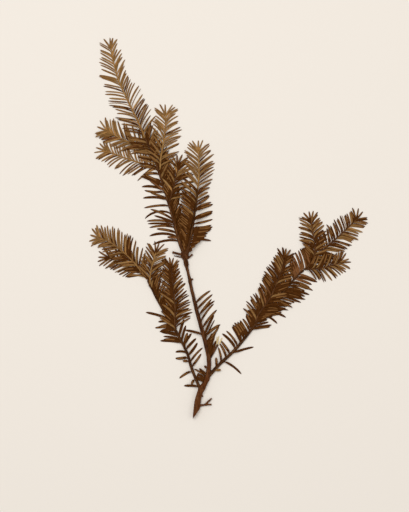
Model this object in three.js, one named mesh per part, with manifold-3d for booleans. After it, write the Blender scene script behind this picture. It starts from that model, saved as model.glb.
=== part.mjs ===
// Cut branch of Canada yew, pressed flat and dried, lying on its side.
// Millimetres. +X to the right, +Y from the cut towards the leader, +Z up from the surface.
// The stem forks into the leader and two boughs. Each mass of foliage is a twig with its needles fused on.

import * as THREE from "three";
import Module from "manifold-3d";

const wasm = await Module();
wasm.setup();

// Where the middle of the underside is in the plan that the limbs' points are measured in.
const ORIGIN = [0.48, -0.66];

// The clearance between neighbouring sub-parts.
const GAP = 0.3;

// One needle, with its share of the width at its foot and the share of its length up to its shoulder.
const NEEDLE_WIDTH = 1.8;
const NEEDLE_THICKNESS = 0.5;
const NEEDLE_FOOT = 0.7;
const NEEDLE_SHOULDER = 0.84;

// How much a needle bends forwards past its shoulder, tilts up and rolls, and how deep its root is sunk.
const NEEDLE_BEND = [0.06, 0.22];
const NEEDLE_TILT = [-0.2, 0.3];
const NEEDLE_ROLL = [-0.175, 0.175];
const ROOT_DEPTH = 0.7;

// A needle that would touch another sub-part is tried again higher up, at each of these lifts.
const LIFTS = [0, 0.7, 1.4, 2.1, 2.8, 3.5];

// The needles along one side of a twig: their spacing and how far each may stray from it.
const NEEDLE_SPACING = 3.9;
const STRAY_ALONG = [-0.4, 0.4];
const STRAY_DEG = [-4.5, 4.5];
const STRAY_SIZE = [0.9, 1.05];

// The bare ends of a twig: a branching foot, a foot that carries on from a limb, an end that runs on
// into the next twig, and an end with a tuft.
const BARE_FOOT = 2;
const JOINED_FOOT = 1;
const RUN_ON = 0.8;
const TUFT_ROOM = 2;

// The tuft round an end bud: each needle's way back from the end, share of angle and share of length.
const TUFT = [
  [1.6, 0.72, 0.85],
  [1.2, -0.72, 0.85],
  [0.8, 0.4, 0.8],
  [0.5, -0.36, 0.8],
  [0.3, 0.05, 0.75],
];

// Sections of the limbs, the twigs and the ridges of leaf bases that rows of needles stand on.
const LIMB_SIDES = 8;
const TWIG_SIDES = 4;
const RING_STEP = 7;
const RIDGE_RADIUS = 0.5;
const RIDGE_STEP = 4;
const RIDGE_POINTS = 9;
const CORNER_REACH = 1.12;

// The slanting cut at the foot of the stem: the way it faces, a point on it and the round stem's start.
const CUT_NORMAL_DEG = -35;
const CUT_POINT = [-27, -157.1];
const CUT_REACH = 14;

// The height of a broken stump's line above the surface at its foot, middle and tip.
const STUMP_LIFTS = [0.7, 0.6, 0.5];

// Steps along a line, for its direction, for a search on it and for moving its foot.
const TANGENT_STEP = 0.5;
const SEARCH_STEP = 0.25;
const FOOT_STEP = 0.1;

// The fineness to which a fused solid is kept, and the steps to which its corners may be rounded.
const SMALLEST_EDGE = 0.03;
const ROUNDING_STEPS = [0.001, 0.0001];

// The random streams.
const FIRST_SEED = 48;
const SEED_STEP = 37;
const MOST_TRIES = 9;

const UP = new THREE.Vector3(0, 0, 1);

// Colours and finish of the dried plant.
const OLD_BARK = { color: 0x4a3020, roughness: 0.85, metalness: 0 };
const OLD_NEEDLE = { color: 0x4f3418, roughness: 0.7, metalness: 0 };
const YOUNG_NEEDLE = { color: 0x7a5a2c, roughness: 0.7, metalness: 0 };

// The wooden limbs. Each point is x, y and how far the limb's underside is above the surface.
const LIMBS = {
  main_stem: {
    points: [
      [-26.9, -163, 0],
      [-25.9, -147, 0],
      [-24, -138.5, 0],
      [-19.5, -129, 0],
      [-17, -114.5, 0],
      [-19.5, -98.5, 0],
      [-28, -65.5, 0],
      [-35, -35, 0],
      [-38, -22, 0],
    ],
    thick: [5, 4.8, 3.7, 3.4, 3.2, 3, 2.8, 2.6],
    cut: true,
  },
  left_bough: {
    from: "main_stem",
    points: [
      [-24.6, -137.5, 0],
      [-31.8, -119.7, 0],
      [-35.6, -107, 0],
      [-44.1, -90, 0],
      [-52.6, -76.5, 0],
      [-61.1, -61.2, 0],
      [-69, -45.5, 0],
    ],
    thick: [2.8, 1.8],
  },
  right_bough: {
    from: "main_stem",
    points: [
      [-18.7, -128.2, 0],
      [-8.5, -116.3, 0],
      [3.4, -103.6, 0],
      [16.1, -88.4, 0],
      [28.8, -73.9, 0],
      [44.1, -58.7, 0],
      [57.7, -41.7, 0],
      [63, -37, 0],
    ],
    thick: [3.2, 1.7],
  },
};

// Broken twig stumps left on the limbs: where each starts, which way it points in degrees,
// its length and its thickness at foot and tip.
const STUMPS = {
  main_stem: [
    [-25.5, -151.2, 6, 5.6, 1.7, 1.4],
    [-21, -150.6, 40, 8.4, 1.4, 0.9],
    [-21, -150.6, -6, 5.6, 1.2, 0.9],
    [-24, -140, -65, 4.6, 1.5, 0.8],
    [-33, -46.8, 45, 4, 1.3, 1],
    [-38.6, -25, 165, 8, 2.2, 1.2],
    [-35, -27, 40, 4.4, 1.5, 1],
  ],
};

// The leafy shoots, in the order in which they lie on each other.
// Each side's needles have their length and their angle to the twig, from its foot to its tip, and
// may have their share of the usual spacing and a longer bare foot.
const SHOOTS = {
  lower_left_shoot: {
    from: "leader_lower",
    points: [[-60.2, 48.2, 0], [-75.5, 54.1, 0], [-102.6, 64.3, 0]],
    thick: [1.6, 1],
    left: { long: [17, 13], angle: [54, 52] },
    right: { long: [13, 12], angle: [65, 55] },
  },
  upper_left_shoot: {
    from: "leader_lower",
    points: [[-64.4, 60, 0], [-82.3, 71.1, 1.4], [-102, 81, 1.2]],
    thick: [1.5, 1],
    left: { long: [14, 12], angle: [38, 45] },
    right: { long: [16, 14], angle: [55, 50] },
  },
  leader_lower: {
    from: "main_stem",
    follows: true,
    points: [
      [-38.2, -21.4, 0],
      [-42.4, -11.2, 0],
      [-48.3, 10, 0],
      [-56, 35.4, 0],
      [-64.4, 60.9, 0],
      [-71.2, 75.3, 0],
    ],
    thick: [2.4, 1.7],
    left: { long: [22, 20, 16], angle: [80, 62], bare: 8 },
    right: { long: [17, 15], angle: [42, 38], spacing: 0.9 },
    runs_on: true,
  },
  leader_tip: {
    from: "leader_lower",
    follows: true,
    points: [
      [-71.2, 75.3, 0],
      [-75.5, 85.5, 0],
      [-88.2, 111.8, 0],
      [-94.1, 125.3, 0],
      [-100.5, 149, 0],
    ],
    thick: [1.6, 1],
    left: { long: [16.5, 13.5], angle: [66, 58] },
    right: { long: [16.5, 13.5], angle: [37, 36] },
  },
  inner_shoot: {
    from: "leader_lower",
    points: [[-50.9, 20.2, 0], [-48.3, 28.7, 1.2], [-44.1, 45.6, 1], [-43.7, 52.4, 0.6]],
    thick: [1.5, 1],
    left: { long: [13, 11], angle: [50, 45] },
    right: { long: [15, 12], angle: [50, 45] },
  },
  upper_right_shoot: {
    from: "leader_lower",
    points: [[-58.5, 48.2, 0], [-57.7, 58.3, 1.8], [-53, 80.4, 1.2], [-52.6, 93, 0.4]],
    thick: [1.5, 1],
    left: { long: [14, 12], angle: [50, 45] },
    right: { long: [16, 13], angle: [52, 48] },
  },
  right_leader_lower: {
    from: "main_stem",
    points: [[-36.5, -24.8, 0], [-33.1, -11.2, 0.6], [-28.4, 15.9, 1], [-26.7, 31.2, 0.8]],
    thick: [2, 1.5],
    left: { long: [16, 15], angle: [50, 50], spacing: 0.85 },
    right: { long: [21, 17], angle: [46, 48], bare: 2 },
    runs_on: true,
  },
  right_leader_tip: {
    from: "right_leader_lower",
    follows: true,
    points: [[-26.7, 31.2, 0.8], [-25.4, 43.9, 0.6], [-25.9, 64.5, 0.2]],
    thick: [1.4, 1],
    left: { long: [15, 12.5], angle: [48, 46] },
    right: { long: [16, 13], angle: [48, 46] },
  },
  left_bough_side_shoot: {
    from: "left_bough_tip",
    points: [[-73.8, -38.5, 0], [-88.2, -29.8, 0], [-102.6, -26, 0]],
    thick: [1.4, 1],
    left: { long: [14, 12], angle: [60, 50] },
    right: { long: [12, 11], angle: [50, 45] },
  },
  left_bough_tip: {
    from: "left_bough",
    follows: true,
    points: [[-69.5, -44.3, 0], [-80.6, -29.8, 0.8], [-92.4, -18.8, 0.8], [-109.4, -9.9, 0.4]],
    thick: [1.7, 1],
    left: { long: [14, 12], angle: [55, 50] },
    right: { long: [17, 13.5], angle: [45, 40] },
  },
  left_bough_middle_shoot: {
    from: "left_bough",
    points: [
      [-44.9, -88.4, 0],
      [-45.8, -80, 1.5],
      [-45.8, -66.3, 1.5],
      [-48.3, -42.6, 1],
      [-49.2, -34.1, 0.8],
    ],
    thick: [1.6, 1],
    left: { long: [15, 12], angle: [50, 45], spacing: 0.85 },
    right: { long: [17, 12], angle: [46, 45] },
  },
  left_bough_upper_shoot: {
    from: "left_bough",
    points: [[-67, -49, 0], [-66.6, -40, 1.8], [-63.8, -27.5, 1.6], [-61.9, -21.4, 1.4]],
    thick: [1.4, 1],
    left: { long: [13, 11], angle: [52, 45] },
    right: { long: [14, 12], angle: [50, 45] },
  },
  right_bough_tip: {
    from: "right_bough",
    follows: true,
    points: [[63.6, -36.6, 0], [76.3, -23.1, 0], [92.4, -8.6, 0], [108.5, 6.6, 0]],
    thick: [1.6, 1],
    left: { long: [16, 13], angle: [47, 42] },
    right: { long: [15, 13], angle: [52, 50] },
  },
  right_bough_inner_shoot: {
    from: "right_bough",
    points: [[20.5, -82, 0], [25, -73, 1.6], [33.8, -60.4, 1.8], [44.4, -36.6, 1.4], [47, -26.5, 1]],
    thick: [1.6, 1],
    left: { long: [17, 13], angle: [66, 50], spacing: 0.85 },
    right: { long: [15, 12], angle: [45, 45] },
  },
  right_bough_upper_shoot: {
    from: "right_bough_tip",
    points: [[70.4, -29.8, 0], [72.9, -19.7, 1.6], [70.8, -4, 1.2], [69.5, 4.9, 0.8]],
    thick: [1.4, 1],
    left: { long: [13.5, 11.5], angle: [48, 42] },
    right: { long: [13.5, 11.5], angle: [45, 42] },
  },
  right_bough_side_shoot: {
    from: "right_bough_tip",
    points: [[64.4, -36, 0], [73, -35.6, 1.4], [83.1, -34.1, 1.2], [94.1, -30.3, 0.8]],
    thick: [1.4, 1],
    left: { long: [13, 11.5], angle: [60, 50] },
    right: { long: [14, 12], angle: [60, 50] },
  },
};

// Rows of needles that stand on one side of a limb, between two heights of it. Side 1 is the left.
// Where they stand far apart, each has its own height on the limb, length and angle.
const ROWS = {
  stem_right_needles: {
    along: "main_stem",
    side: -1,
    y: [-109, -65],
    long: [13, 15, 16.5],
    angle: [26, 40, 64],
  },
  stem_left_needles: {
    along: "main_stem",
    side: 1,
    y: [-132, -89],
    each: [[-130.5, 5, 60], [-128, 6.5, 58], [-124.5, 7.5, 52], [-120.5, 5, 45], [-90, 13.5, 66]],
  },
  left_bough_outer_needles: {
    along: "left_bough",
    side: 1,
    y: [-135, -75],
    each: [
      [-134, 10, 72],
      [-123.5, 10.6, 98],
      [-113.8, 5, 75],
      [-111.3, 11, 70],
      [-105.6, 9.3, 70],
      [-97.5, 15.2, 56],
      [-94.6, 13.4, 56],
      [-92, 14.4, 50],
      [-90, 11, 62],
      [-87.6, 12.5, 66],
      [-84.3, 14.4, 62],
      [-82.4, 10.5, 74],
      [-80.2, 9, 60],
      [-77.2, 18.4, 44],
    ],
  },
  left_bough_lower_needles: {
    along: "left_bough",
    side: -1,
    y: [-119, -91.5],
    each: [
      [-118, 12.7, 58],
      [-113, 15, 66],
      [-109, 14, 60],
      [-104.6, 12.7, 56],
      [-100.3, 11, 50],
      [-96.4, 12.5, 48],
      [-92.6, 14, 50],
    ],
  },
  left_bough_inner_needles: {
    along: "left_bough",
    side: -1,
    y: [-81, -52],
    long: [17, 17],
    angle: [50, 46],
    spacing: 0.75,
  },
  right_bough_foot_needles: {
    along: "right_bough",
    side: -1,
    y: [-122, -103],
    each: [[-120.5, 5.5, 50], [-114, 19.4, 82], [-105.8, 18.2, 34]],
  },
  right_bough_lower_needles: {
    along: "right_bough",
    side: 1,
    y: [-119, -85],
    long: [12.5, 16.5],
    angle: [42, 80],
  },
  right_bough_inner_needles: {
    along: "right_bough",
    side: 1,
    y: [-68, -36.8],
    long: [16, 17],
    angle: [60, 62],
    spacing: 0.9,
  },
  right_bough_outer_needles: {
    along: "right_bough",
    side: -1,
    y: [-87, -40],
    long: [15, 17],
    angle: [44, 66],
    spacing: 0.85,
  },
};

// A repeatable stream of numbers from 0 to 1.
function seeded(seed) {
  let state = seed;
  return () => {
    state = (Math.imul(state, 1664525) + 1013904223) >>> 0;
    return state / 4294967296;
  };
}

// A value between two bounds.
function between([low, high], random) {
  return low + (high - low) * random();
}

// The value at a share u of the way along a list of evenly spaced values.
function mix(values, u) {
  const place = THREE.MathUtils.clamp(u, 0, 1) * (values.length - 1);
  const i = Math.min(Math.floor(place), values.length - 2);
  return values[i] + (values[i + 1] - values[i]) * (place - i);
}

// The line of a limb or twig: a smooth curve through its points, resting on its underside.
class Axis {
  constructor(points, thick) {
    this.curve = new THREE.CatmullRomCurve3(
      points.map(([x, y, lift]) => new THREE.Vector3(x - ORIGIN[0], y - ORIGIN[1], lift)),
      false,
      "catmullrom",
    );
    this.length = this.curve.getLength();
    this.thick = thick;
    this.start = 0;
  }
  radius(s) {
    return mix(this.thick, s / this.length) / 2;
  }
  at(s) {
    const u = Math.min(Math.max(s / this.length, 0), 1);
    const point = this.curve.getPointAt(u);
    point.z += this.radius(s);
    return point;
  }
  along(s) {
    const ahead = this.at(Math.min(s + TANGENT_STEP, this.length));
    return ahead.sub(this.at(Math.max(s - TANGENT_STEP, 0))).normalize();
  }
  left(s) {
    return UP.clone().cross(this.along(s)).normalize();
  }
  rings(sides, step) {
    const count = Math.max(2, Math.ceil((this.length - this.start) / step));
    const rings = [];
    for (let i = 0; i <= count; i++) {
      const s = this.start + ((this.length - this.start) * i) / count;
      rings.push(this.ring(s, sides));
    }
    return rings;
  }
  // A section with one flat side down.
  ring(s, sides) {
    const centre = this.at(s);
    const along = this.along(s);
    const left = this.left(s);
    const up = along.clone().cross(left);
    const radius = this.radius(s) / Math.cos(Math.PI / sides);
    const ring = [];
    for (let k = 0; k < sides; k++) {
      const turn = (2 * Math.PI * (k + 0.5)) / sides - Math.PI / 2;
      ring.push(
        centre
          .clone()
          .addScaledVector(left, radius * Math.cos(turn))
          .addScaledVector(up, radius * Math.sin(turn)),
      );
    }
    return ring;
  }
  // Where the axis passes a height y.
  station(y) {
    let best = 0;
    for (let s = 0; s <= this.length; s += SEARCH_STEP) {
      if (Math.abs(this.at(s).y - y) < Math.abs(this.at(best).y - y)) {
        best = s;
      }
    }
    return best;
  }
  // The foot moves out until its end is clear of the limb that it stands on.
  standClearOf(parent) {
    const clear = (s) =>
      this.ring(s, TWIG_SIDES).every((corner) => {
        for (let t = parent.start; t <= parent.length; t += SEARCH_STEP) {
          if (corner.distanceTo(parent.at(t)) < parent.radius(t) * CORNER_REACH + GAP) {
            return false;
          }
        }
        return true;
      });
    while (!clear(this.start)) {
      this.start += FOOT_STEP;
    }
  }
}

// A closed solid through rings of points, ended by its last ring or by a point.
function loft(rings, tip) {
  const sides = rings[0].length;
  const points = rings.flat();
  const faces = [];
  for (let k = 1; k < sides - 1; k++) {
    faces.push([0, k + 1, k]);
  }
  for (let i = 0; i + 1 < rings.length; i++) {
    for (let k = 0; k < sides; k++) {
      const a = i * sides + k;
      const b = i * sides + ((k + 1) % sides);
      faces.push([a, b, a + sides], [b, b + sides, a + sides]);
    }
  }
  const last = (rings.length - 1) * sides;
  if (tip) {
    points.push(tip);
    for (let k = 0; k < sides; k++) {
      faces.push([last + k, last + ((k + 1) % sides), points.length - 1]);
    }
  } else {
    for (let k = 1; k < sides - 1; k++) {
      faces.push([last, last + k, last + k + 1]);
    }
  }
  const mesh = new wasm.Mesh({
    numProp: 3,
    vertProperties: new Float32Array(points.flatMap((p) => [p.x, p.y, p.z])),
    triVerts: new Uint32Array(faces.flat()),
  });
  return new wasm.Manifold(mesh);
}

// Every solid made so far, so that each new needle keeps clear of the other sub-parts.
const standing = [];

function stand(owner, solid) {
  const { min, max } = solid.boundingBox();
  standing.push({ owner, solid, min, max });
  return solid;
}

function isClear(owner, solid) {
  const { min, max } = solid.boundingBox();
  return standing.every((other) => {
    if (other.owner === owner) {
      return true;
    }
    for (let k = 0; k < 3; k++) {
      if (other.min[k] > max[k] + GAP || other.max[k] < min[k] - GAP) {
        return true;
      }
    }
    return solid.minGap(other.solid, GAP * 2) >= GAP * 0.95;
  });
}

// One needle: a linear blade with a flat underside, a raised midrib and a pointed tip.
function needle(owner, root, towards, side, long, random) {
  const bend = -side * between(NEEDLE_BEND, random);
  const tilt = between(NEEDLE_TILT, random);
  const roll = between(NEEDLE_ROLL, random);
  for (const lift of LIFTS) {
    const knee = root.clone().addScaledVector(towards, long * NEEDLE_SHOULDER);
    knee.z = Math.max(root.z + (tilt + lift) * NEEDLE_SHOULDER, NEEDLE_THICKNESS);
    const onwards = towards.clone().applyAxisAngle(UP, bend);
    const tip = knee.clone().addScaledVector(onwards, long * (1 - NEEDLE_SHOULDER));
    tip.z = Math.max(knee.z + (tilt + lift) * (1 - NEEDLE_SHOULDER), NEEDLE_THICKNESS / 2);
    const along = knee.clone().sub(root).normalize();
    const left = UP.clone().cross(along).normalize().applyAxisAngle(along, roll);
    const up = along.clone().cross(left);
    const section = (centre, width) => [
      centre.clone().addScaledVector(left, width / 2).addScaledVector(up, -NEEDLE_THICKNESS / 3),
      centre.clone().addScaledVector(up, (NEEDLE_THICKNESS * 2) / 3),
      centre.clone().addScaledVector(left, -width / 2).addScaledVector(up, -NEEDLE_THICKNESS / 3),
    ];
    const blade = loft([section(root, NEEDLE_WIDTH * NEEDLE_FOOT), section(knee, NEEDLE_WIDTH)], tip);
    if (isClear(owner, blade)) {
      return stand(owner, blade);
    }
  }
  return null;
}

// A needle's root inside its twig, and the way it points at an angle to the twig's left or right.
function socket(axis, s, angle) {
  const towards = axis.along(s).setZ(0).normalize().applyAxisAngle(UP, THREE.MathUtils.degToRad(angle));
  const root = axis.at(s).addScaledVector(towards, axis.radius(s) * (1 - ROOT_DEPTH));
  return { root, towards };
}

// The needles of one side of a shoot or row, from its foot to its tip. Those at the foot are shorter.
function growSide(owner, axis, foot, to, side, { long, angle, spacing = 1, bare = 0 }, random) {
  const pieces = [];
  const from = foot + bare;
  const count = Math.round((to - from) / (NEEDLE_SPACING * spacing));
  for (let i = 0; i < count; i++) {
    const u = (i + (side > 0 ? 0.35 : 0.65)) / count;
    const s = from + (to - from) * u + between(STRAY_ALONG, random);
    const { root, towards } = socket(axis, s, side * (mix(angle, u) + between(STRAY_DEG, random)));
    const size = mix(long, u) * between(STRAY_SIZE, random) * Math.min(1, 0.8 + 0.2 * (i + 1));
    pieces.push(needle(owner, root, towards, side, size, random));
  }
  return pieces;
}

// The tuft of needles round a shoot's end bud.
function growTuft(owner, axis, shoot, random) {
  return TUFT.map(([back, share, size]) => {
    const side = Math.sign(share);
    const { long, angle } = side > 0 ? shoot.left : shoot.right;
    const turn = angle[1] * share + between(STRAY_DEG, random);
    const { root, towards } = socket(axis, axis.length - back, turn);
    return needle(owner, root, towards, side, long[1] * size, random);
  });
}

// The needles of a row that each have their own place.
function growEach(owner, axis, row, random) {
  return row.each.map(([y, long, angle]) => {
    const s = THREE.MathUtils.clamp(axis.station(y - ORIGIN[1]), RUN_ON, axis.length - RUN_ON);
    const { root, towards } = socket(axis, s, row.side * angle);
    return needle(owner, root, towards, row.side, long, random);
  });
}

// Fuses the pieces of a sub-part, without the needles that found no room, into one body.
function fuse(pieces) {
  const whole = wasm.Manifold.union(pieces.filter((piece) => piece)).simplify(SMALLEST_EDGE);
  const shells = whole.decompose();
  shells.sort((a, b) => b.volume() - a.volume());
  return shells[0];
}

function toMesh(name, solid, finish) {
  const raw = solid.getMesh();
  const geometry = new THREE.BufferGeometry();
  geometry.setAttribute("position", new THREE.BufferAttribute(new Float32Array(raw.vertProperties), 3));
  geometry.setIndex(new THREE.BufferAttribute(new Uint32Array(raw.triVerts), 1));
  geometry.computeVertexNormals();
  const material = new THREE.MeshStandardMaterial({ ...finish, flatShading: true });
  const mesh = new THREE.Mesh(geometry, material);
  mesh.name = name;
  return mesh;
}

const axes = {};
for (const [name, limb] of Object.entries({ ...LIMBS, ...SHOOTS })) {
  axes[name] = new Axis(limb.points, limb.thick);
  if (limb.cut) {
    axes[name].start = CUT_REACH;
  }
}
for (const [name, limb] of Object.entries({ ...LIMBS, ...SHOOTS })) {
  if (limb.from) {
    axes[name].standClearOf(axes[limb.from]);
  }
}

// The slanting face of the cut: the stem's first ring slides down the stem into the plane of the cut.
function slantedFoot(ring, along) {
  const facing = THREE.MathUtils.degToRad(CUT_NORMAL_DEG);
  const normal = new THREE.Vector3(Math.cos(facing), Math.sin(facing), 0);
  const point = new THREE.Vector3(CUT_POINT[0] - ORIGIN[0], CUT_POINT[1] - ORIGIN[1], 0);
  return ring.map((corner) => {
    const slide = point.clone().sub(corner).dot(normal) / along.dot(normal);
    return corner.clone().addScaledVector(along, slide);
  });
}

const part = new THREE.Group();
part.name = "cut_yew_branch";

// The line of a broken stump.
function stump([x, y, towards, long, foot, tip]) {
  const turn = THREE.MathUtils.degToRad(towards);
  const end = [x + long * Math.cos(turn), y + long * Math.sin(turn)];
  const middle = [(x + end[0]) / 2, (y + end[1]) / 2];
  const points = [[x, y], middle, end].map((point, i) => [...point, STUMP_LIFTS[i]]);
  return new Axis(points, [foot, tip]);
}

for (const [name, limb] of Object.entries(LIMBS)) {
  const axis = axes[name];
  const rings = axis.rings(LIMB_SIDES, RING_STEP);
  if (limb.cut) {
    rings.unshift(slantedFoot(axis.ring(CUT_REACH, LIMB_SIDES), axis.along(CUT_REACH)));
  }
  const stumps = (STUMPS[name] ?? []).map(stump);
  const pieces = [loft(rings), ...stumps.map((twig) => loft(twig.rings(TWIG_SIDES, RING_STEP)))];
  part.add(toMesh(name, stand(name, fuse(pieces)), OLD_BARK));
}

// The ridge of leaf bases that a row of needles stands on runs beside its limb.
function ridgeAxis(row) {
  const limb = axes[row.along];
  const [s0, s1] = row.y.map((y) => limb.station(y - ORIGIN[1]));
  const points = [];
  for (let i = 0; i < RIDGE_POINTS; i++) {
    const s = s0 + ((s1 - s0) * i) / (RIDGE_POINTS - 1);
    const offset = limb.radius(s) * CORNER_REACH + GAP + RIDGE_RADIUS;
    const point = limb.at(s).addScaledVector(limb.left(s), row.side * offset);
    points.push([point.x + ORIGIN[0], point.y + ORIGIN[1], point.z - RIDGE_RADIUS]);
  }
  return new Axis(points, [RIDGE_RADIUS * 2, RIDGE_RADIUS * 2]);
}

const cores = {};
for (const [name, row] of Object.entries(ROWS)) {
  axes[name] = ridgeAxis(row);
}
for (const name of Object.keys(ROWS)) {
  cores[name] = stand(name, loft(axes[name].rings(TWIG_SIDES, RIDGE_STEP)));
}
for (const name of Object.keys(SHOOTS)) {
  cores[name] = stand(name, loft(axes[name].rings(TWIG_SIDES, RING_STEP)));
}

// Whether each edge still joins two faces once its corners are rounded to a step.
function staysClosed(solid, step) {
  const { vertProperties, triVerts } = solid.getMesh();
  const corners = [];
  for (let i = 0; i < vertProperties.length; i += 3) {
    corners.push([0, 1, 2].map((k) => Math.round(vertProperties[i + k] / step)).join());
  }
  const shared = new Map();
  for (let i = 0; i < triVerts.length; i += 3) {
    const face = [0, 1, 2].map((k) => corners[triVerts[i + k]]);
    if (new Set(face).size === 3) {
      for (let k = 0; k < 3; k++) {
        const edge = [face[k], face[(k + 1) % 3]].sort().join("|");
        shared.set(edge, (shared.get(edge) ?? 0) + 1);
      }
    }
  }
  return [...shared.values()].every((count) => count === 2);
}

// Grows a sub-part from its core, and again from the next seed if its surface would pinch when rounded.
function growSoundly(name, seed, grow) {
  const before = standing.length;
  for (let attempt = 0; attempt < MOST_TRIES; attempt++) {
    standing.length = before;
    const whole = fuse([cores[name], ...grow(seeded(seed + attempt))]);
    if (ROUNDING_STEPS.every((step) => staysClosed(whole, step))) {
      return whole;
    }
  }
  throw new Error(`${name} pinches with every seed`);
}

let seed = FIRST_SEED;
for (const [name, row] of Object.entries(ROWS)) {
  const axis = axes[name];
  const whole = growSoundly(name, seed, (random) =>
    row.each
      ? growEach(name, axis, row, random)
      : growSide(name, axis, RUN_ON, axis.length - RUN_ON, row.side, row, random),
  );
  part.add(toMesh(name, whole, OLD_NEEDLE));
  seed += SEED_STEP;
}

for (const [name, shoot] of Object.entries(SHOOTS)) {
  const axis = axes[name];
  const from = axis.start + (shoot.follows ? JOINED_FOOT : BARE_FOOT);
  const to = axis.length - (shoot.runs_on ? RUN_ON : TUFT_ROOM);
  const whole = growSoundly(name, seed, (random) => [
    ...growSide(name, axis, from, to, 1, shoot.left, random),
    ...growSide(name, axis, from, to, -1, shoot.right, random),
    ...(shoot.runs_on ? [] : growTuft(name, axis, shoot, random)),
  ]);
  part.add(toMesh(name, whole, YOUNG_NEEDLE));
  seed += SEED_STEP;
}

export default part;
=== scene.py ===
import math
import random
from collections import namedtuple

import bpy
import numpy as np
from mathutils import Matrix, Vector


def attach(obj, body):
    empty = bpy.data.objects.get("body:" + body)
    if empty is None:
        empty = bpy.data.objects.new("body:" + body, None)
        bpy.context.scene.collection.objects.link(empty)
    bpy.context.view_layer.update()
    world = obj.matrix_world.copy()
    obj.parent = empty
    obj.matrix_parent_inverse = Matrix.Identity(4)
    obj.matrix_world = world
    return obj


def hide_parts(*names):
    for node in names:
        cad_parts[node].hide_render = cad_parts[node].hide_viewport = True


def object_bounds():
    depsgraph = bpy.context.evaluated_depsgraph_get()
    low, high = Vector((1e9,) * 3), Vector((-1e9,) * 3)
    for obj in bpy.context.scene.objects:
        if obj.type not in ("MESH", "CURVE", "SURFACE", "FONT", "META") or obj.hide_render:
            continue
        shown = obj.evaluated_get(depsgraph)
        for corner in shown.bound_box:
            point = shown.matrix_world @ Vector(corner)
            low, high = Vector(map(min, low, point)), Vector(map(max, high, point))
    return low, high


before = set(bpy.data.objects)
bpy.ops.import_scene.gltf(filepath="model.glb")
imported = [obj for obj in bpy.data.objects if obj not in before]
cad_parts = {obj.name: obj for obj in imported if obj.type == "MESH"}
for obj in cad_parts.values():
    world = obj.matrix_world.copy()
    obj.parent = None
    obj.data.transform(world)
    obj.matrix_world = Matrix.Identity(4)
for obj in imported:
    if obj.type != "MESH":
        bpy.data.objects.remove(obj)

CAD_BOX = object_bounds()

# Main stem
# The woody axis of the cut branch, 5 to 6 mm thick at its foot, with reddish brown bark that has
# wrinkled in drying. A slanting cut frees it from its shrub, and broken twigs left stubs on it.

MM = 0.001
PLAN_ORIGIN = (0.48, -0.66)
STEM_POINTS = [
    (-28.2, -163), (-26.6, -148), (-23.8, -138.5), (-19, -129), (-17, -114.5), (-20, -98.5),
    (-28.8, -65.5), (-35.6, -35), (-38, -22),
]
STEM_THICKNESS = (5.7, 5.3, 4, 3.8, 3.7, 3.2, 2.8, 2.7)
STEM_STATION = 2.4
LIMB_SIDES = 12
STEM_VOXEL = 0.24
STEM_GRAIN = math.radians(97)
BARK_SMOOTH = math.radians(50)
CUT_POINT = (-27, -157.1, 2.4)
CUT_TURN = math.radians(-35)
CUT_RISE = 6.2
SAW_BLOCK = 24
RING_PITCH = 14000

# The cut's faces: how nearly they face its way, and how far off its plane they may lie.
CUT_FACING = 0.99
CUT_DEPTH = 0.02

# The bark, and its redder shade at the foot, which comes in between two y of the plan, in metres.
STEM_BARK = {"bark": (0.062, 0.02, 0.006), "flake": (0.155, 0.06, 0.02), "crack": (0.014, 0.004, 0.001)}
FOOT_BARK = (0.112, 0.033, 0.008)
RED_FOOT = (-0.108, -0.122)

# Where limbs left the stem or leave it: the y in the plan, and the swelling's radius and stretch.
STEM_COLLARS = [(-137, 2.9, 2), (-128, 2.7, 1.8), (-46.8, 1.7, 1.5), (-30.5, 2.2, 2.4), (-24, 3.5, 1.4)]
COLLAR_FLATNESS = 0.9

# Layers of wrinkles in the bark: the kind of noise, its size, its stretch along the limb and its height.
STEM_WRINKLES = [("CLOUDS", 3.5, 2.5, 0.5), ("CLOUDS", 0.9, 7, 0.42), ("STUCCI", 0.5, 3, 0.12)]
WRINKLE_LEVEL = 0.6

# Each stub: its foot in the plan, the way it points in degrees, its length, and how thick it is at its
# foot and at its tip.
STEM_STUBS = [
    (-26, -151.6, 8, 7.6, 2.4, 1.9),
    (-20.6, -150.8, 42, 8.2, 2, 1.6),
    (-20.6, -150.8, 2, 5.8, 1.9, 1.6),
    (-24, -140, -65, 4.6, 1.9, 1.3),
    (-33.6, -46.8, 45, 4.2, 1.8, 2),
    (-39, -24, 165, 9.4, 2, 2.6),
    (-40, -26, 168, 7, 1.4, 1.1),
    (-35, -27, 42, 5.6, 1.8, 2.1),
    (-16.2, -111.4, 60, 13.6, 2.2, 1.9),
    (-16, -122.6, 18, 3.6, 1.5, 1.6),
]

# Stubs lie this far above the surface, and are drawn out in shorter steps and with fewer sides.
STUB_LIFT = 0.6
STUB_STATION = 1.2
STUB_SIDES = 8


def to_place(x, y, z=0.0):
    """A place in the plan, in millimetres, as a place in the frame."""
    return np.array([x - PLAN_ORIGIN[0], y - PLAN_ORIGIN[1], z]) * MM


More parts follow.
